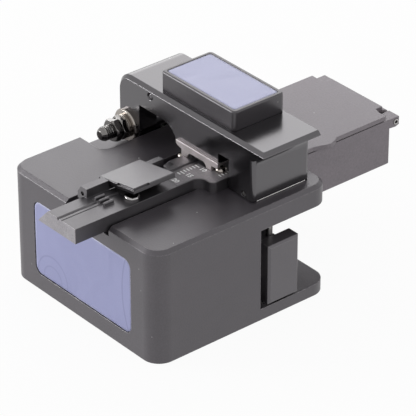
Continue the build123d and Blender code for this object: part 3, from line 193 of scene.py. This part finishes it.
def make_fine_grain():
    """The even pitting of an anodised or moulded skin: a tone factor and a height."""
    group, start, end = effect(
        "fine grain",
        [("Scale", "NodeSocketFloat", 4000.0), ("Patches", "NodeSocketFloat", 120.0)],
        [("Tone", "NodeSocketFloat"), ("Height", "NodeSocketFloat")])
    links = group.links
    place = node(group, "ShaderNodeTexCoord")
    pits = node(group, "ShaderNodeTexNoise", Detail=2.0, Roughness=0.55)
    links.new(place.outputs["Object"], pits.inputs["Vector"])
    links.new(start.outputs["Scale"], pits.inputs["Scale"])
    clouds = node(group, "ShaderNodeTexNoise", Detail=3.0, Roughness=0.5)
    links.new(place.outputs["Object"], clouds.inputs["Vector"])
    links.new(start.outputs["Patches"], clouds.inputs["Scale"])
    fine = calculate(group, "MULTIPLY", pits.outputs["Fac"], 0.6)
    cloudy = calculate(group, "MULTIPLY", clouds.outputs["Fac"], 0.4)
    links.new(calculate(group, "ADD", cloudy, fine), end.inputs["Tone"])
    links.new(pits.outputs["Fac"], end.inputs["Height"])
    return group


def make_dust():
    """A few pale specks and lint points, most of them on surfaces that face up."""
    group, start, end = effect(
        "dust specks",
        [("Scale", "NodeSocketFloat", 260.0), ("Size", "NodeSocketFloat", 0.05),
         ("Share", "NodeSocketFloat", 0.25)],
        [("Mask", "NodeSocketFloat")])
    links = group.links
    place = node(group, "ShaderNodeTexCoord")
    cells = node(group, "ShaderNodeTexVoronoi", Randomness=1.0)
    links.new(place.outputs["Object"], cells.inputs["Vector"])
    links.new(start.outputs["Scale"], cells.inputs["Scale"])
    near = calculate(group, "LESS_THAN", cells.outputs["Distance"], start.outputs["Size"])
    chance = node(group, "ShaderNodeSeparateColor")
    links.new(cells.outputs["Color"], chance.inputs[0])
    chosen = calculate(group, "LESS_THAN", chance.outputs[0], start.outputs["Share"])
    facing = node(group, "ShaderNodeSeparateXYZ")
    links.new(place.outputs["Normal"], facing.inputs[0])
    up = node(group, "ShaderNodeMapRange", **{"From Min": 0.3, "From Max": 0.9, "To Min": 0.3})
    links.new(facing.outputs["Z"], up.inputs["Value"])
    seen = calculate(group, "MULTIPLY", calculate(group, "MULTIPLY", near, chosen), up.outputs[0])
    links.new(seen, end.inputs["Mask"])
    return group


def make_tool_lines():
    """Fine lines along one direction, such as turning or brushing leaves, as a tone and a height."""
    group, start, end = effect(
        "tool lines",
        [("Stretch", "NodeSocketVector", (60.0, 9000.0, 60.0))],
        [("Tone", "NodeSocketFloat"), ("Height", "NodeSocketFloat")])
    links = group.links
    place = node(group, "ShaderNodeTexCoord")
    drawn = node(group, "ShaderNodeVectorMath", operation="MULTIPLY")
    links.new(place.outputs["Object"], drawn.inputs[0])
    links.new(start.outputs["Stretch"], drawn.inputs[1])
    lines = node(group, "ShaderNodeTexNoise", Scale=1.0, Detail=4.0, Roughness=0.6)
    links.new(drawn.outputs[0], lines.inputs["Vector"])
    links.new(lines.outputs["Fac"], end.inputs["Tone"])
    links.new(lines.outputs["Fac"], end.inputs["Height"])
    return group


edge_wear_and_highlight = make_edge_wear_and_highlight()
fine_grain = make_fine_grain()
dust_specks = make_dust()
tool_lines = make_tool_lines()


def place_effect(tree, group, **values):
    """One use of a shared effect in a finish."""
    made = tree.nodes.new("ShaderNodeGroup")
    made.node_tree = group
    for label, value in values.items():
        made.inputs[label].default_value = value
    return made


def shade(value):
    """A grey or a colour, given as sRGB 0 to 255, as the linear colour a shader takes."""
    if isinstance(value, (int, float)):
        value = (value, value, value)
    linear = [((c / 255 + 0.055) / 1.055) ** 2.4 if c > 10 else c / 255 / 12.92 for c in value]
    return (*linear, 1.0)


def mix(tree, factor, first, second):
    """A colour mix; each colour is a socket or a fixed colour."""
    made = node(tree, "ShaderNodeMix", data_type="RGBA")
    tree.links.new(factor, made.inputs[0])
    for place, value in ((6, first), (7, second)):
        if isinstance(value, tuple):
            made.inputs[place].default_value = value
        else:
            tree.links.new(value, made.inputs[place])
    return made.outputs[2]


def blank_finish(name):
    """A new material with only its shader and output."""
    material = bpy.data.materials.new(name)
    material.use_nodes = True
    tree = material.node_tree
    return material, tree, tree.nodes["Principled BSDF"]


def ranged(tree, value, low, high):
    """A noise value, most of it between 0.3 and 0.7, spread between two limits."""
    made = node(tree, "ShaderNodeMapRange",
                **{"From Min": 0.3, "From Max": 0.7, "To Min": low, "To Max": high})
    tree.links.new(value, made.inputs["Value"])
    return made.outputs[0]


def skin_finish(name, dark, light, worn_and_lit_tone, rough, grain=4000.0, pit=0.00003, edge=0.0003, wear_and_highlight=0.5,
                dust=0.2, gloss=1.5, specular=0.8, spread=0.05, speck_tone=215):
    """A dark coated skin: grain, cloudy tone, scuffed edges with a painted highlight along them and a
    little dust; lengths in metres.
    """
    material, tree, shader = blank_finish(name)
    texture = place_effect(tree, fine_grain, Scale=grain)
    rubbed_and_lit = place_effect(tree, edge_wear_and_highlight, Width=edge, Amount=wear_and_highlight)
    specks = place_effect(tree, dust_specks, Share=dust)
    base = mix(tree, ranged(tree, texture.outputs["Tone"], 0.0, 1.0), shade(dark), shade(light))
    # Edges take a paler tone, scuffing and a painted highlight together
    base = mix(tree, rubbed_and_lit.outputs["Mask"], base, shade(worn_and_lit_tone))
    base = mix(tree, specks.outputs["Mask"], base, shade(speck_tone))
    tree.links.new(base, shader.inputs["Base Color"])
    roughness = ranged(tree, texture.outputs["Tone"], rough - spread, rough + spread)
    tree.links.new(roughness, shader.inputs["Roughness"])
    bump = node(tree, "ShaderNodeBump", Strength=1.0, Distance=pit)
    tree.links.new(texture.outputs["Height"], bump.inputs["Height"])
    tree.links.new(rubbed_and_lit.outputs["Normal"], bump.inputs["Normal"])
    tree.links.new(bump.outputs[0], shader.inputs["Normal"])
    shader.inputs["IOR"].default_value = gloss
    shader.inputs["Specular IOR Level"].default_value = specular
    shader.inputs["Specular Tint"].default_value = SKIN_TINT
    return material


def add_painted_lit_end(material, limit, dark, light):
    """A paler, mottled painted light on the part in front of a plane across Y, given in metres, so that the
    end face looks as lit as the top.
    """
    tree = material.node_tree
    shader = tree.nodes["Principled BSDF"]
    under = shader.inputs["Base Color"].links[0].from_socket
    place = node(tree, "ShaderNodeTexCoord")
    split = node(tree, "ShaderNodeSeparateXYZ")
    tree.links.new(place.outputs["Object"], split.inputs[0])
    front = calculate(tree, "LESS_THAN", split.outputs["Y"], limit)
    mottle = place_effect(tree, fine_grain, Scale=2200.0, Patches=400.0)
    # The paler tone in front of the plane is painted light on the end face
    pale_painted_light = mix(tree, ranged(tree, mottle.outputs["Tone"], 0.0, 1.0), shade(dark), shade(light))
    tree.links.new(mix(tree, front, under, pale_painted_light), shader.inputs["Base Color"])


def steel_finish(name, dark, light, rough, stretch, depth=0.000004, edge=0.00015):
    """Bare metal with fine tool lines and scuffed edges with a painted highlight; lengths in metres."""
    material, tree, shader = blank_finish(name)
    lines = place_effect(tree, tool_lines, Stretch=stretch)
    rubbed_and_lit = place_effect(tree, edge_wear_and_highlight, Width=edge, Amount=0.6)
    base = mix(tree, ranged(tree, lines.outputs["Tone"], 0.0, 1.0), shade(dark), shade(light))
    # Edges take a bright tone, scuffing and a painted highlight together
    base = mix(tree, rubbed_and_lit.outputs["Mask"], base, shade(METAL_EDGE_HIGHLIGHT_TONE))
    tree.links.new(base, shader.inputs["Base Color"])
    roughness = ranged(tree, lines.outputs["Tone"], rough - METAL_SPREAD, rough + METAL_SPREAD)
    tree.links.new(roughness, shader.inputs["Roughness"])
    shader.inputs["Metallic"].default_value = 1.0
    bump = node(tree, "ShaderNodeBump", Strength=0.6, Distance=depth)
    tree.links.new(lines.outputs["Height"], bump.inputs["Height"])
    tree.links.new(rubbed_and_lit.outputs["Normal"], bump.inputs["Normal"])
    tree.links.new(bump.outputs[0], shader.inputs["Normal"])
    return material


def painted_crease_shade(tree, place, middle, radius):
    """A soft line of painted shade along one of the film's creases, part of a circle round a point; in
    metres.
    """
    away = node(tree, "ShaderNodeVectorMath", operation="DISTANCE")
    tree.links.new(place.outputs["Object"], away.inputs[0])
    away.inputs[1].default_value = middle
    off = calculate(tree, "ABSOLUTE", calculate(tree, "SUBTRACT", away.outputs["Value"], radius), 0.0)
    line = node(tree, "ShaderNodeMapRange",
                **{"From Min": 0.0, "From Max": CREASE_HALF_WIDTH * MM, "To Min": 1.0, "To Max": 0.0})
    tree.links.new(off, line.inputs["Value"])
    return line.outputs[0]


def film_finish(name, colour, deep, edge_highlight_tone, creases=()):
    """Printed film on a plate: fine print grain, a painted highlight along its cut edge, not quite flat."""
    material, tree, shader = blank_finish(name)
    texture = place_effect(tree, fine_grain, Scale=6000.0, Patches=60.0)
    rim = place_effect(tree, edge_wear_and_highlight, Width=0.001, Amount=1.0, Breakup=120.0)
    base = mix(tree, ranged(tree, texture.outputs["Tone"], 0.0, 1.0), shade(deep), shade(colour))
    # The pale tone along the cut edge is a painted highlight
    base = mix(tree, rim.outputs["Mask"], base, shade(edge_highlight_tone))
    place = node(tree, "ShaderNodeTexCoord")
    for middle, radius, share in creases:
        line = calculate(tree, "MULTIPLY", painted_crease_shade(tree, place, middle, radius), share)
        # Darker lines along the creases are painted shade
        base = mix(tree, line, base, shade(CREASE_SHADE_TONE))
    tree.links.new(base, shader.inputs["Base Color"])
    tree.links.new(ranged(tree, texture.outputs["Tone"], 0.36, 0.46), shader.inputs["Roughness"])
    shader.inputs["Coat Weight"].default_value = 0.15
    shader.inputs["Coat Roughness"].default_value = 0.25
    waves = node(tree, "ShaderNodeTexNoise", Scale=70.0, Detail=1.0, Distortion=1.5)
    tree.links.new(place.outputs["Object"], waves.inputs["Vector"])
    slack = node(tree, "ShaderNodeBump", Strength=1.0, Distance=0.0003)
    tree.links.new(waves.outputs["Fac"], slack.inputs["Height"])
    tree.links.new(rim.outputs["Normal"], slack.inputs["Normal"])
    bump = node(tree, "ShaderNodeBump", Strength=0.5, Distance=0.00001)
    tree.links.new(texture.outputs["Height"], bump.inputs["Height"])
    tree.links.new(slack.outputs[0], bump.inputs["Normal"])
    tree.links.new(bump.outputs[0], shader.inputs["Normal"])
    return material


# Coated skins: darker and lighter tone, then the edge tone (scuffing and painted edge highlight),
# roughness, then the effects

housing_black = skin_finish("matte black anodised housing", (38, 35, 39), (60, 56, 61), (190, 185, 188),
                            0.4, grain=2300.0, wear_and_highlight=0.8, dust=0.35, gloss=1.61, speck_tone=175)
arm_black = skin_finish("satin black anodised arm", (11, 10, 12), (15, 14, 16), (100, 97, 99),
                        0.2, spread=0.015, grain=2800.0, pit=0.0000015, edge=0.0002,
                        wear_and_highlight=0.3, dust=0.5, gloss=1.72)
cap_black = skin_finish("satin black cap", (30, 28, 31), (42, 39, 43), (170, 167, 169),
                        0.32, spread=0.02, grain=2800.0, pit=0.000002, dust=0.4, gloss=1.56)
lid_black = skin_finish("satin black lid", (14, 13, 15), (22, 20, 23), (130, 127, 128),
                        0.32, spread=0.03, grain=2800.0, pit=0.000005, edge=0.00015,
                        wear_and_highlight=0.3, dust=0.4, gloss=1.62)
holder_black = skin_finish("matte black anodised holder", (15, 14, 16), (28, 26, 29), (140, 137, 139), 0.42,
                           grain=2600.0, pit=0.00001, edge=0.00015, wear_and_highlight=0.4, dust=0.3, gloss=1.8)
# The holder's front end is painted paler, as lit as its top
add_painted_lit_end(holder_black, HOLDER_END * MM, (96, 93, 97), (144, 141, 145))
bin_black = skin_finish("grained dark moulding", (80, 73, 78), (110, 102, 108), (150, 144, 148), 0.48,
                        grain=2000.0, pit=0.00004, wear_and_highlight=0.3, dust=0.25, gloss=1.68)
scale_black = skin_finish("dark scale plate", (98, 95, 98), (146, 143, 146), (186, 184, 186), 0.42,
                          grain=2600.0, pit=0.00001, edge=0.00012, wear_and_highlight=0.4, gloss=1.6)
knob_black = skin_finish("satin black anodised knob", (44, 41, 45), (62, 59, 63), (190, 187, 190), 0.36,
                         grain=2600.0, pit=0.000005, wear_and_highlight=0.9, gloss=1.7)
rubber_black = skin_finish("soft black pad", (36, 35, 37), (58, 56, 58), (70, 68, 70), 0.75,
                           grain=2400.0, pit=0.00004, wear_and_highlight=0.2, specular=0.5)

# The front film's painted shade lines along creases each follow part of a circle: its middle, its radius,
# in metres, and its strength
plate_low, plate_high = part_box("front_label_plate")
front_film = film_finish(
    "blue film on the front plate", (144, 147, 185), (132, 135, 174), (206, 209, 232),
    creases=[((plate_low[0] + 0.007, plate_low[1], plate_low[2] + 0.001), 0.0062, 0.45),
             ((plate_low[0] + 0.007, plate_low[1], plate_low[2] + 0.0005), 0.0038, 0.4),
             ((plate_high[0] + 0.027, plate_low[1], plate_low[2] + 0.012), 0.0305, 0.6)])
cap_film = film_finish("pale blue film on the cap", (178, 180, 214), (170, 172, 206), (200, 202, 222))

# Metals: darker and lighter tone, roughness, then how closely the tool lines run along each axis

polished_steel = steel_finish("polished turned steel", (140, 134, 129), (172, 166, 160), 0.12,
                              (60.0, 7000.0, 60.0))
screw_steel = steel_finish("screw steel", (150, 148, 147), (186, 184, 182), 0.28,
                           (2500.0, 2500.0, 2500.0))
machined_steel = steel_finish("machined steel", (158, 156, 154), (190, 188, 186), 0.32,
                              (5000.0, 80.0, 5000.0))
stamped_silver = steel_finish("stamped bracket sheet", (198, 190, 190), (214, 207, 207), 0.42,
                              (80.0, 900.0, 3000.0))
stud_chrome = steel_finish("bright chromed stud", (150, 148, 148), (184, 182, 182), 0.1,
                           (1100.0, 1100.0, 1100.0), depth=0.00012)
# Bright metal for the bead that paints the highlight along the leg's foot
foot_highlight_steel = steel_finish("bare bright rim", (228, 226, 224), (242, 240, 238), 0.3, (60.0, 60.0, 7000.0))
nut_steel = steel_finish("dark turned steel", (100, 98, 97), (136, 133, 131), 0.14, (60.0, 7000.0, 60.0))
blade_steel = steel_finish("ground blade steel", (176, 178, 182), (214, 216, 220), 0.16,
                           (1800.0, 40.0, 1800.0))

white_print = skin_finish("white printed marks", (250, 250, 251), (254, 254, 254), (254, 254, 254), 0.5,
                          grain=6000.0, pit=0.000004, dust=0.0)

FINISHES = {
    "base_housing": housing_black,
    "front_label_plate": front_film,
    "base_mat": rubber_black,
    "slide_rail": machined_steel,
    "rail_screws": screw_steel,
    "strike_plate": machined_steel,
    "rear_fibre_rest": holder_black,
    "rest_screws": screw_steel,
    "lower_clamp_pads": rubber_black,
    "hinge_block": arm_black,
    "hinge_block_screws": screw_steel,
    "hinge_shaft": nut_steel,
    "hinge_nuts": nut_steel,
    "hinge_sleeve": polished_steel,
    "fibre_holder": holder_black,
    "holder_screws": polished_steel,
    "scale_plate": scale_black,
    "guide_comb": holder_black,
    "holder_pad": rubber_black,
    "lid_magnet": stud_chrome,
    "lid_pin": machined_steel,
    "scrap_bin": bin_black,
    "bin_screws": screw_steel,
    "bin_pin": machined_steel,
    "arm_frame": arm_black,
    "hinge_bushes": polished_steel,
    "arm_magnet": polished_steel,
    "magnet_set_screw": screw_steel,
    "anvil": machined_steel,
    "arm_cap": cap_black,
    "cap_label_plate": cap_film,
    "cap_screws": screw_steel,
    "clamp_bracket": stamped_silver,
    "bracket_screws": screw_steel,
    "upper_clamp_pads": rubber_black,
    "carriage": holder_black,
    "guide_pin": machined_steel,
    "slider_knob": knob_black,
    "knob_screws": screw_steel,
    "blade_plate": machined_steel,
    "plate_screws": screw_steel,
    "blade_axle": machined_steel,
    "blade": blade_steel,
    "blade_hub": machined_steel,
    "clamp_lid": lid_black,
    "lid_pad": rubber_black,
    "lid_keeper": machined_steel,
    "bin_lid": bin_black,
}


def dress_nodes():
    """Gives each solid its finish."""
    for name, material in FINISHES.items():
        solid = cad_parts[name]
        solid.data.materials.clear()
        solid.data.materials.append(material)


# Modelling helpers


def clear_selection():
    """Nothing selected, in object mode."""
    if bpy.context.mode != "OBJECT":
        bpy.ops.object.mode_set(mode="OBJECT")
    bpy.ops.object.select_all(action="DESELECT")


def settle(piece, name, material, body):
    """Names a finished piece, bakes its place into its mesh and lets it ride with its body."""
    clear_selection()
    piece.select_set(True)
    bpy.context.view_layer.objects.active = piece
    bpy.ops.object.transform_apply(location=True, rotation=True, scale=True)
    piece.name = name
    piece.data.name = name
    piece.data.materials.clear()
    piece.data.materials.append(material)
    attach(piece, body)
    return piece


def joined(pieces):
    """Several pieces made one object."""
    clear_selection()
    for piece in pieces:
        piece.select_set(True)
    bpy.context.view_layer.objects.active = pieces[0]
    bpy.ops.object.join()
    return bpy.context.object


# Edges rounded over


def eased_copy(name, body, width, steps):
    """A copy of a solid with its sharp outer edges rounded over; it stands for the solid."""
    clear_selection()
    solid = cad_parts[name]
    eased = solid.copy()
    eased.data = solid.data.copy()
    bpy.context.collection.objects.link(eased)
    eased.select_set(True)
    bpy.context.view_layer.objects.active = eased
    bpy.ops.object.mode_set(mode="EDIT")
    bpy.ops.mesh.select_all(action="SELECT")
    bpy.ops.mesh.remove_doubles(threshold=WELD_DISTANCE * MM)
    bpy.ops.mesh.dissolve_limited(angle_limit=math.radians(FLAT_ANGLE))
    bpy.ops.object.mode_set(mode="OBJECT")
    rounding = eased.modifiers.new("rounding", "BEVEL")
    rounding.limit_method = "ANGLE"
    rounding.angle_limit = math.radians(EDGE_ANGLE)
    rounding.width = width * MM
    rounding.segments = steps
    rounding.use_clamp_overlap = True
    bpy.ops.object.modifier_apply(modifier="rounding")
    bpy.ops.object.shade_smooth_by_angle(angle=math.radians(EDGE_ANGLE))
    flats = eased.modifiers.new("flats", "WEIGHTED_NORMAL")
    flats.keep_sharp = True
    bpy.ops.object.modifier_apply(modifier="flats")
    settle(eased, "eased_" + name, FINISHES[name], body)
    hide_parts(name)


def ease_edges():
    """The arm, its cap and the knob have visibly rounded edges."""
    for name, body, width, steps in ROUNDED_NODES:
        eased_copy(name, body, width, steps)


# Trim on the arm


def add_lip_fillet(low, high):
    """The hollow fillet under the arm's lip, down to the leg's right face."""
    reach, radius, end_gap, sunk, overrun = 1.9 * MM, 3.36 * MM, 1.3 * MM, 0.1 * MM, 1.0 * MM
    right, root = high.x - LIP_REACH * MM, high.z - LIP_ROOT * MM
    middle = (low.y + high.y) / 2
    length = high.y - low.y - 2 * end_gap
    slope = math.atan2(LIP_RISE, LIP_REACH)
    left, far = right - sunk, right + reach * math.cos(slope)
    bottom, top = root - reach, root + reach * math.sin(slope)
    clear_selection()
    bpy.ops.mesh.primitive_cylinder_add(vertices=128, radius=radius, depth=length + 2 * overrun,
                                        location=(right + radius, middle, bottom),
                                        rotation=(math.pi / 2, 0, 0))
    cutter = bpy.context.object
    clear_selection()
    bpy.ops.mesh.primitive_cube_add(size=1.0, location=((left + far) / 2, middle, (bottom + top) / 2))
    fillet = bpy.context.object
    fillet.scale = (far - left, length, top - bottom)
    bpy.ops.object.transform_apply(location=False, rotation=False, scale=True)
    hollow = fillet.modifiers.new("hollow", "BOOLEAN")
    hollow.operation = "DIFFERENCE"
    hollow.object = cutter
    bpy.ops.object.modifier_apply(modifier="hollow")
    bpy.data.objects.remove(cutter)
    bpy.ops.object.shade_smooth_by_angle(angle=math.radians(SMOOTH_ANGLE))
    settle(fillet, "lip_fillet", arm_black, "arm")


def rounded_pin(radius, length, place, round_off):
    """A pin along Y with both ends rounded over; lengths in metres."""
    clear_selection()
    bpy.ops.mesh.primitive_cylinder_add(vertices=32, radius=radius, depth=length, location=place,
                                        rotation=(math.pi / 2, 0, 0))
    pin = bpy.context.object
    ends = pin.modifiers.new("ends", "BEVEL")
    ends.limit_method = "ANGLE"
    ends.angle_limit = math.radians(PIN_END_ANGLE)
    ends.width = round_off
    ends.segments = 4
    bpy.ops.object.modifier_apply(modifier="ends")
    bpy.ops.object.shade_smooth_by_angle(angle=math.radians(SMOOTH_ANGLE))
    return pin


def add_arm_trim():
    """The bright bead along the leg's foot that paints its edge highlight, the plug in the arm's small hole
    and the lip's fillet.
    """
    low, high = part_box("arm_frame")
    low, high = Vector(low), Vector(high)
    floor = Vector(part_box("base_housing")[1]).z
    shaft_low, shaft_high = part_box("hinge_shaft")
    hinge_x = (shaft_low[0] + shaft_high[0]) / 2
    add_lip_fillet(low, high)
    rim_place = (high.x - (LIP_REACH + RIM_RADIUS - RIM_PROUD) * MM, (low.y + high.y) / 2,
                 floor + (RIM_RADIUS + RIM_CLEARANCE) * MM)
    # A bright metal bead that paints the highlight along the foot's chamfered edge
    rim = rounded_pin(RIM_RADIUS * MM, high.y - low.y - 2 * RIM_END_GAP * MM, rim_place, RIM_ROUNDING * MM)
    settle(rim, "foot_highlight_rim", foot_highlight_steel, "arm")
    plug_place = (hinge_x + HOLE_FROM_HINGE * MM, low.y + (PLUG_RECESS + PLUG_LENGTH / 2) * MM,
                  high.z - HOLE_BELOW_TOP * MM)
    plug = rounded_pin(PLUG_RADIUS * MM, PLUG_LENGTH * MM, plug_place, PLUG_ROUNDING * MM)
    settle(plug, "arm_hole_plug", arm_black, "arm")


# Print on the scale


def printed_bar(x, y, length, width):
    """One printed stroke on the scale's foil: a very low block with eased upper edges."""
    clear_selection()
    middle = HOLDER_TOP + FOIL_RISE + INK_THICKNESS / 2
    bpy.ops.mesh.primitive_cube_add(size=1.0, location=(x * MM, y * MM, middle * MM))
    bar = bpy.context.object
    bar.scale = (length * MM, width * MM, INK_THICKNESS * MM)
    bpy.ops.object.transform_apply(location=False, rotation=False, scale=True)
    bpy.ops.object.mode_set(mode="EDIT")
    bpy.ops.mesh.select_mode(type="FACE")
    bpy.ops.mesh.select_all(action="DESELECT")
    bpy.ops.object.mode_set(mode="OBJECT")
    for face in bar.data.polygons:
        face.select = face.normal.z > 0.5
    bpy.ops.object.mode_set(mode="EDIT")
    bpy.ops.mesh.inset(thickness=INK_EASE_WIDTH * MM, depth=INK_EASE_RISE * MM)
    bpy.ops.object.mode_set(mode="OBJECT")
    return bar


def add_scale_foil():
    """The thin printed foil on the scale plate; on its left it reaches over the holder to the fine line."""
    clear_selection()
    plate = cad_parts["scale_plate"]
    foil = plate.copy()
    foil.data = plate.data.copy()
    bpy.context.collection.objects.link(foil)
    foil.select_set(True)
    bpy.context.view_layer.objects.active = foil
    bpy.ops.object.mode_set(mode="EDIT")
    bpy.ops.mesh.select_all(action="SELECT")
    bpy.ops.mesh.remove_doubles(threshold=WELD_DISTANCE * MM)
    bpy.ops.mesh.select_mode(type="VERT")
    upper, lower, left = (HOLDER_TOP - 0.01) * MM, (HOLDER_TOP - 0.2) * MM, (SCALE_LEFT + 0.9) * MM
    underside_rise = 0.28 * MM
    for chosen, move in ((lambda p: p.z > upper, (0, 0, FOIL_RISE * MM)),
                         (lambda p: p.z < lower, (0, 0, underside_rise)),
                         (lambda p: p.x < left, (-FOIL_OVERHANG * MM, 0, 0))):
        bpy.ops.mesh.select_all(action="DESELECT")
        bpy.ops.object.mode_set(mode="OBJECT")
        for vertex in foil.data.vertices:
            vertex.select = chosen(vertex.co)
        bpy.ops.object.mode_set(mode="EDIT")
        bpy.ops.transform.translate(value=move)
    bpy.ops.object.mode_set(mode="OBJECT")
    settle(foil, "scale_foil", scale_black, "base")


def add_scale_ticks():
    """The millimetre ticks on the scale plate and on the holder's wing."""
    bars = []
    for step, length in enumerate(SCALE_TICKS):
        bars.append(printed_bar(SCALE_LEFT + length / 2, SCALE_FRONT + step * SCALE_PITCH,
                                length, SCALE_TICK_WIDTH))
    for step, (length, width) in enumerate(WING_TICKS):
        bars.append(printed_bar(WING_LEFT + length / 2, WING_FRONT + step * WING_PITCH, length, width))
    marks = joined(bars)
    settle(marks, "scale_ticks", white_print, "base")


def add_scale_numbers():
    """The lengths printed beside the ticks."""
    numbers = []
    height = (HOLDER_TOP + FOIL_RISE + INK_THICKNESS / 2) * MM
    for text, x, y in NUMBERS:
        clear_selection()
        bpy.ops.object.text_add(location=(x * MM, y * MM, height), rotation=(0, 0, 0))
        number = bpy.context.object
        number.data.body = text
        number.data.size = NUMBER_SIZE * MM
        number.data.offset = NUMBER_WEIGHT * MM
        number.data.align_x = "CENTER"
        number.data.align_y = "CENTER"
        number.data.extrude = INK_THICKNESS / 2 * MM
        number.data.resolution_u = 4
        bpy.ops.object.convert(target="MESH")
        numbers.append(bpy.context.object)
    marks = joined(numbers)
    settle(marks, "scale_numbers", white_print, "base")


# Floor, light and camera


def add_floor():
    """A pale seamless floor that keeps a faint shadow of the object."""
    clear_selection()
    bpy.ops.mesh.primitive_plane_add(size=6.0, location=(0, 0, -0.00005))
    floor = bpy.context.object
    floor.name = "floor"
    material = bpy.data.materials.new("seamless pale floor")
    material.use_nodes = True
    tree = material.node_tree
    tree.nodes.clear()
    out = tree.nodes.new("ShaderNodeOutputMaterial")
    paper = node(tree, "ShaderNodeBsdfDiffuse", Color=(0.9, 0.9, 0.9, 1.0))
    glow = node(tree, "ShaderNodeEmission", Color=(1.0, 1.0, 1.0, 1.0), Strength=1.0)
    path = tree.nodes.new("ShaderNodeLightPath")
    seen = calculate(tree, "ADD", path.outputs["Is Camera Ray"], path.outputs["Is Glossy Ray"])
    seen = calculate(tree, "ADD", seen, path.outputs["Is Transmission Ray"])
    share = calculate(tree, "MULTIPLY", seen, FLOOR_GLOW_SHARE)
    blend = tree.nodes.new("ShaderNodeMixShader")
    tree.links.new(share, blend.inputs[0])
    tree.links.new(paper.outputs[0], blend.inputs[1])
    tree.links.new(glow.outputs[0], blend.inputs[2])
    tree.links.new(blend.outputs[0], out.inputs[0])
    floor.data.materials.append(material)


def set_world():
    """A white surround, seen directly and in reflections, that lights softly."""
    world = bpy.data.worlds.new("white studio")
    bpy.context.scene.world = world
    world.use_nodes = True
    tree = world.node_tree
    tree.nodes.clear()
    out = tree.nodes.new("ShaderNodeOutputWorld")
    back = node(tree, "ShaderNodeBackground", Color=(1.0, 1.0, 1.0, 1.0))
    path = tree.nodes.new("ShaderNodeLightPath")
    seen = calculate(tree, "ADD", path.outputs["Is Camera Ray"], path.outputs["Is Glossy Ray"])
    seen = calculate(tree, "ADD", seen, path.outputs["Is Transmission Ray"])
    strength = node(tree, "ShaderNodeMapRange", **{"To Min": SURROUND_LIGHT, "To Max": 1.0})
    tree.links.new(seen, strength.inputs["Value"])
    tree.links.new(strength.outputs[0], back.inputs["Strength"])
    tree.links.new(back.outputs[0], out.inputs[0])


def add_lamp(name, place, target, size, power):
    """A soft square lamp that looks at a point; places in metres, power in watts."""
    bpy.ops.object.light_add(type="AREA", location=place)
    lamp = bpy.context.object
    lamp.name = name
    lamp.data.size = size
    lamp.data.energy = power
    direction = Vector(target) - Vector(place)
    lamp.rotation_euler = direction.to_track_quat("-Z", "Y").to_euler()


def add_lamps():
    """Cards low behind on the left and right, and a low fill on the front left."""
    add_lamp("rear_left_card", (-0.576, 0.45, 0.325), (0, 0.01, 0.03), 0.6, 1.85)
    add_lamp("rear_right_card", (0.58, 0.5, 0.1), (0, 0.01, 0.02), 0.3, 0.3)
    add_lamp("front_left_card", (-0.66, -0.6, 0.14), (0, -0.02, 0.02), 0.4, 6.4)


def add_camera():
    """The photograph's viewpoint."""
    bpy.ops.object.camera_add(location=(0.52808, -0.42716, 0.43076))
    camera = bpy.context.object
    camera.name = "camera"
    right = Vector((0.64077, 0.76773, -0.00113))
    up = Vector((-0.39522, 0.33113, 0.85683))
    back = Vector((0.65819, -0.54859, 0.51560))
    turn = Matrix((right, up, back)).transposed()
    camera.rotation_euler = turn.to_euler()
    camera.data.sensor_width = 36.0
    camera.data.lens = 264.18
    camera.data.clip_start = 0.01
    camera.data.clip_end = 20.0
    bpy.context.scene.camera = camera


bpy.context.scene.view_settings.view_transform = "Standard"
dress_nodes()
ease_edges()
add_arm_trim()
add_scale_foil()
add_scale_ticks()
add_scale_numbers()
add_floor()
set_world()
add_lamps()
add_camera()
clear_selection()
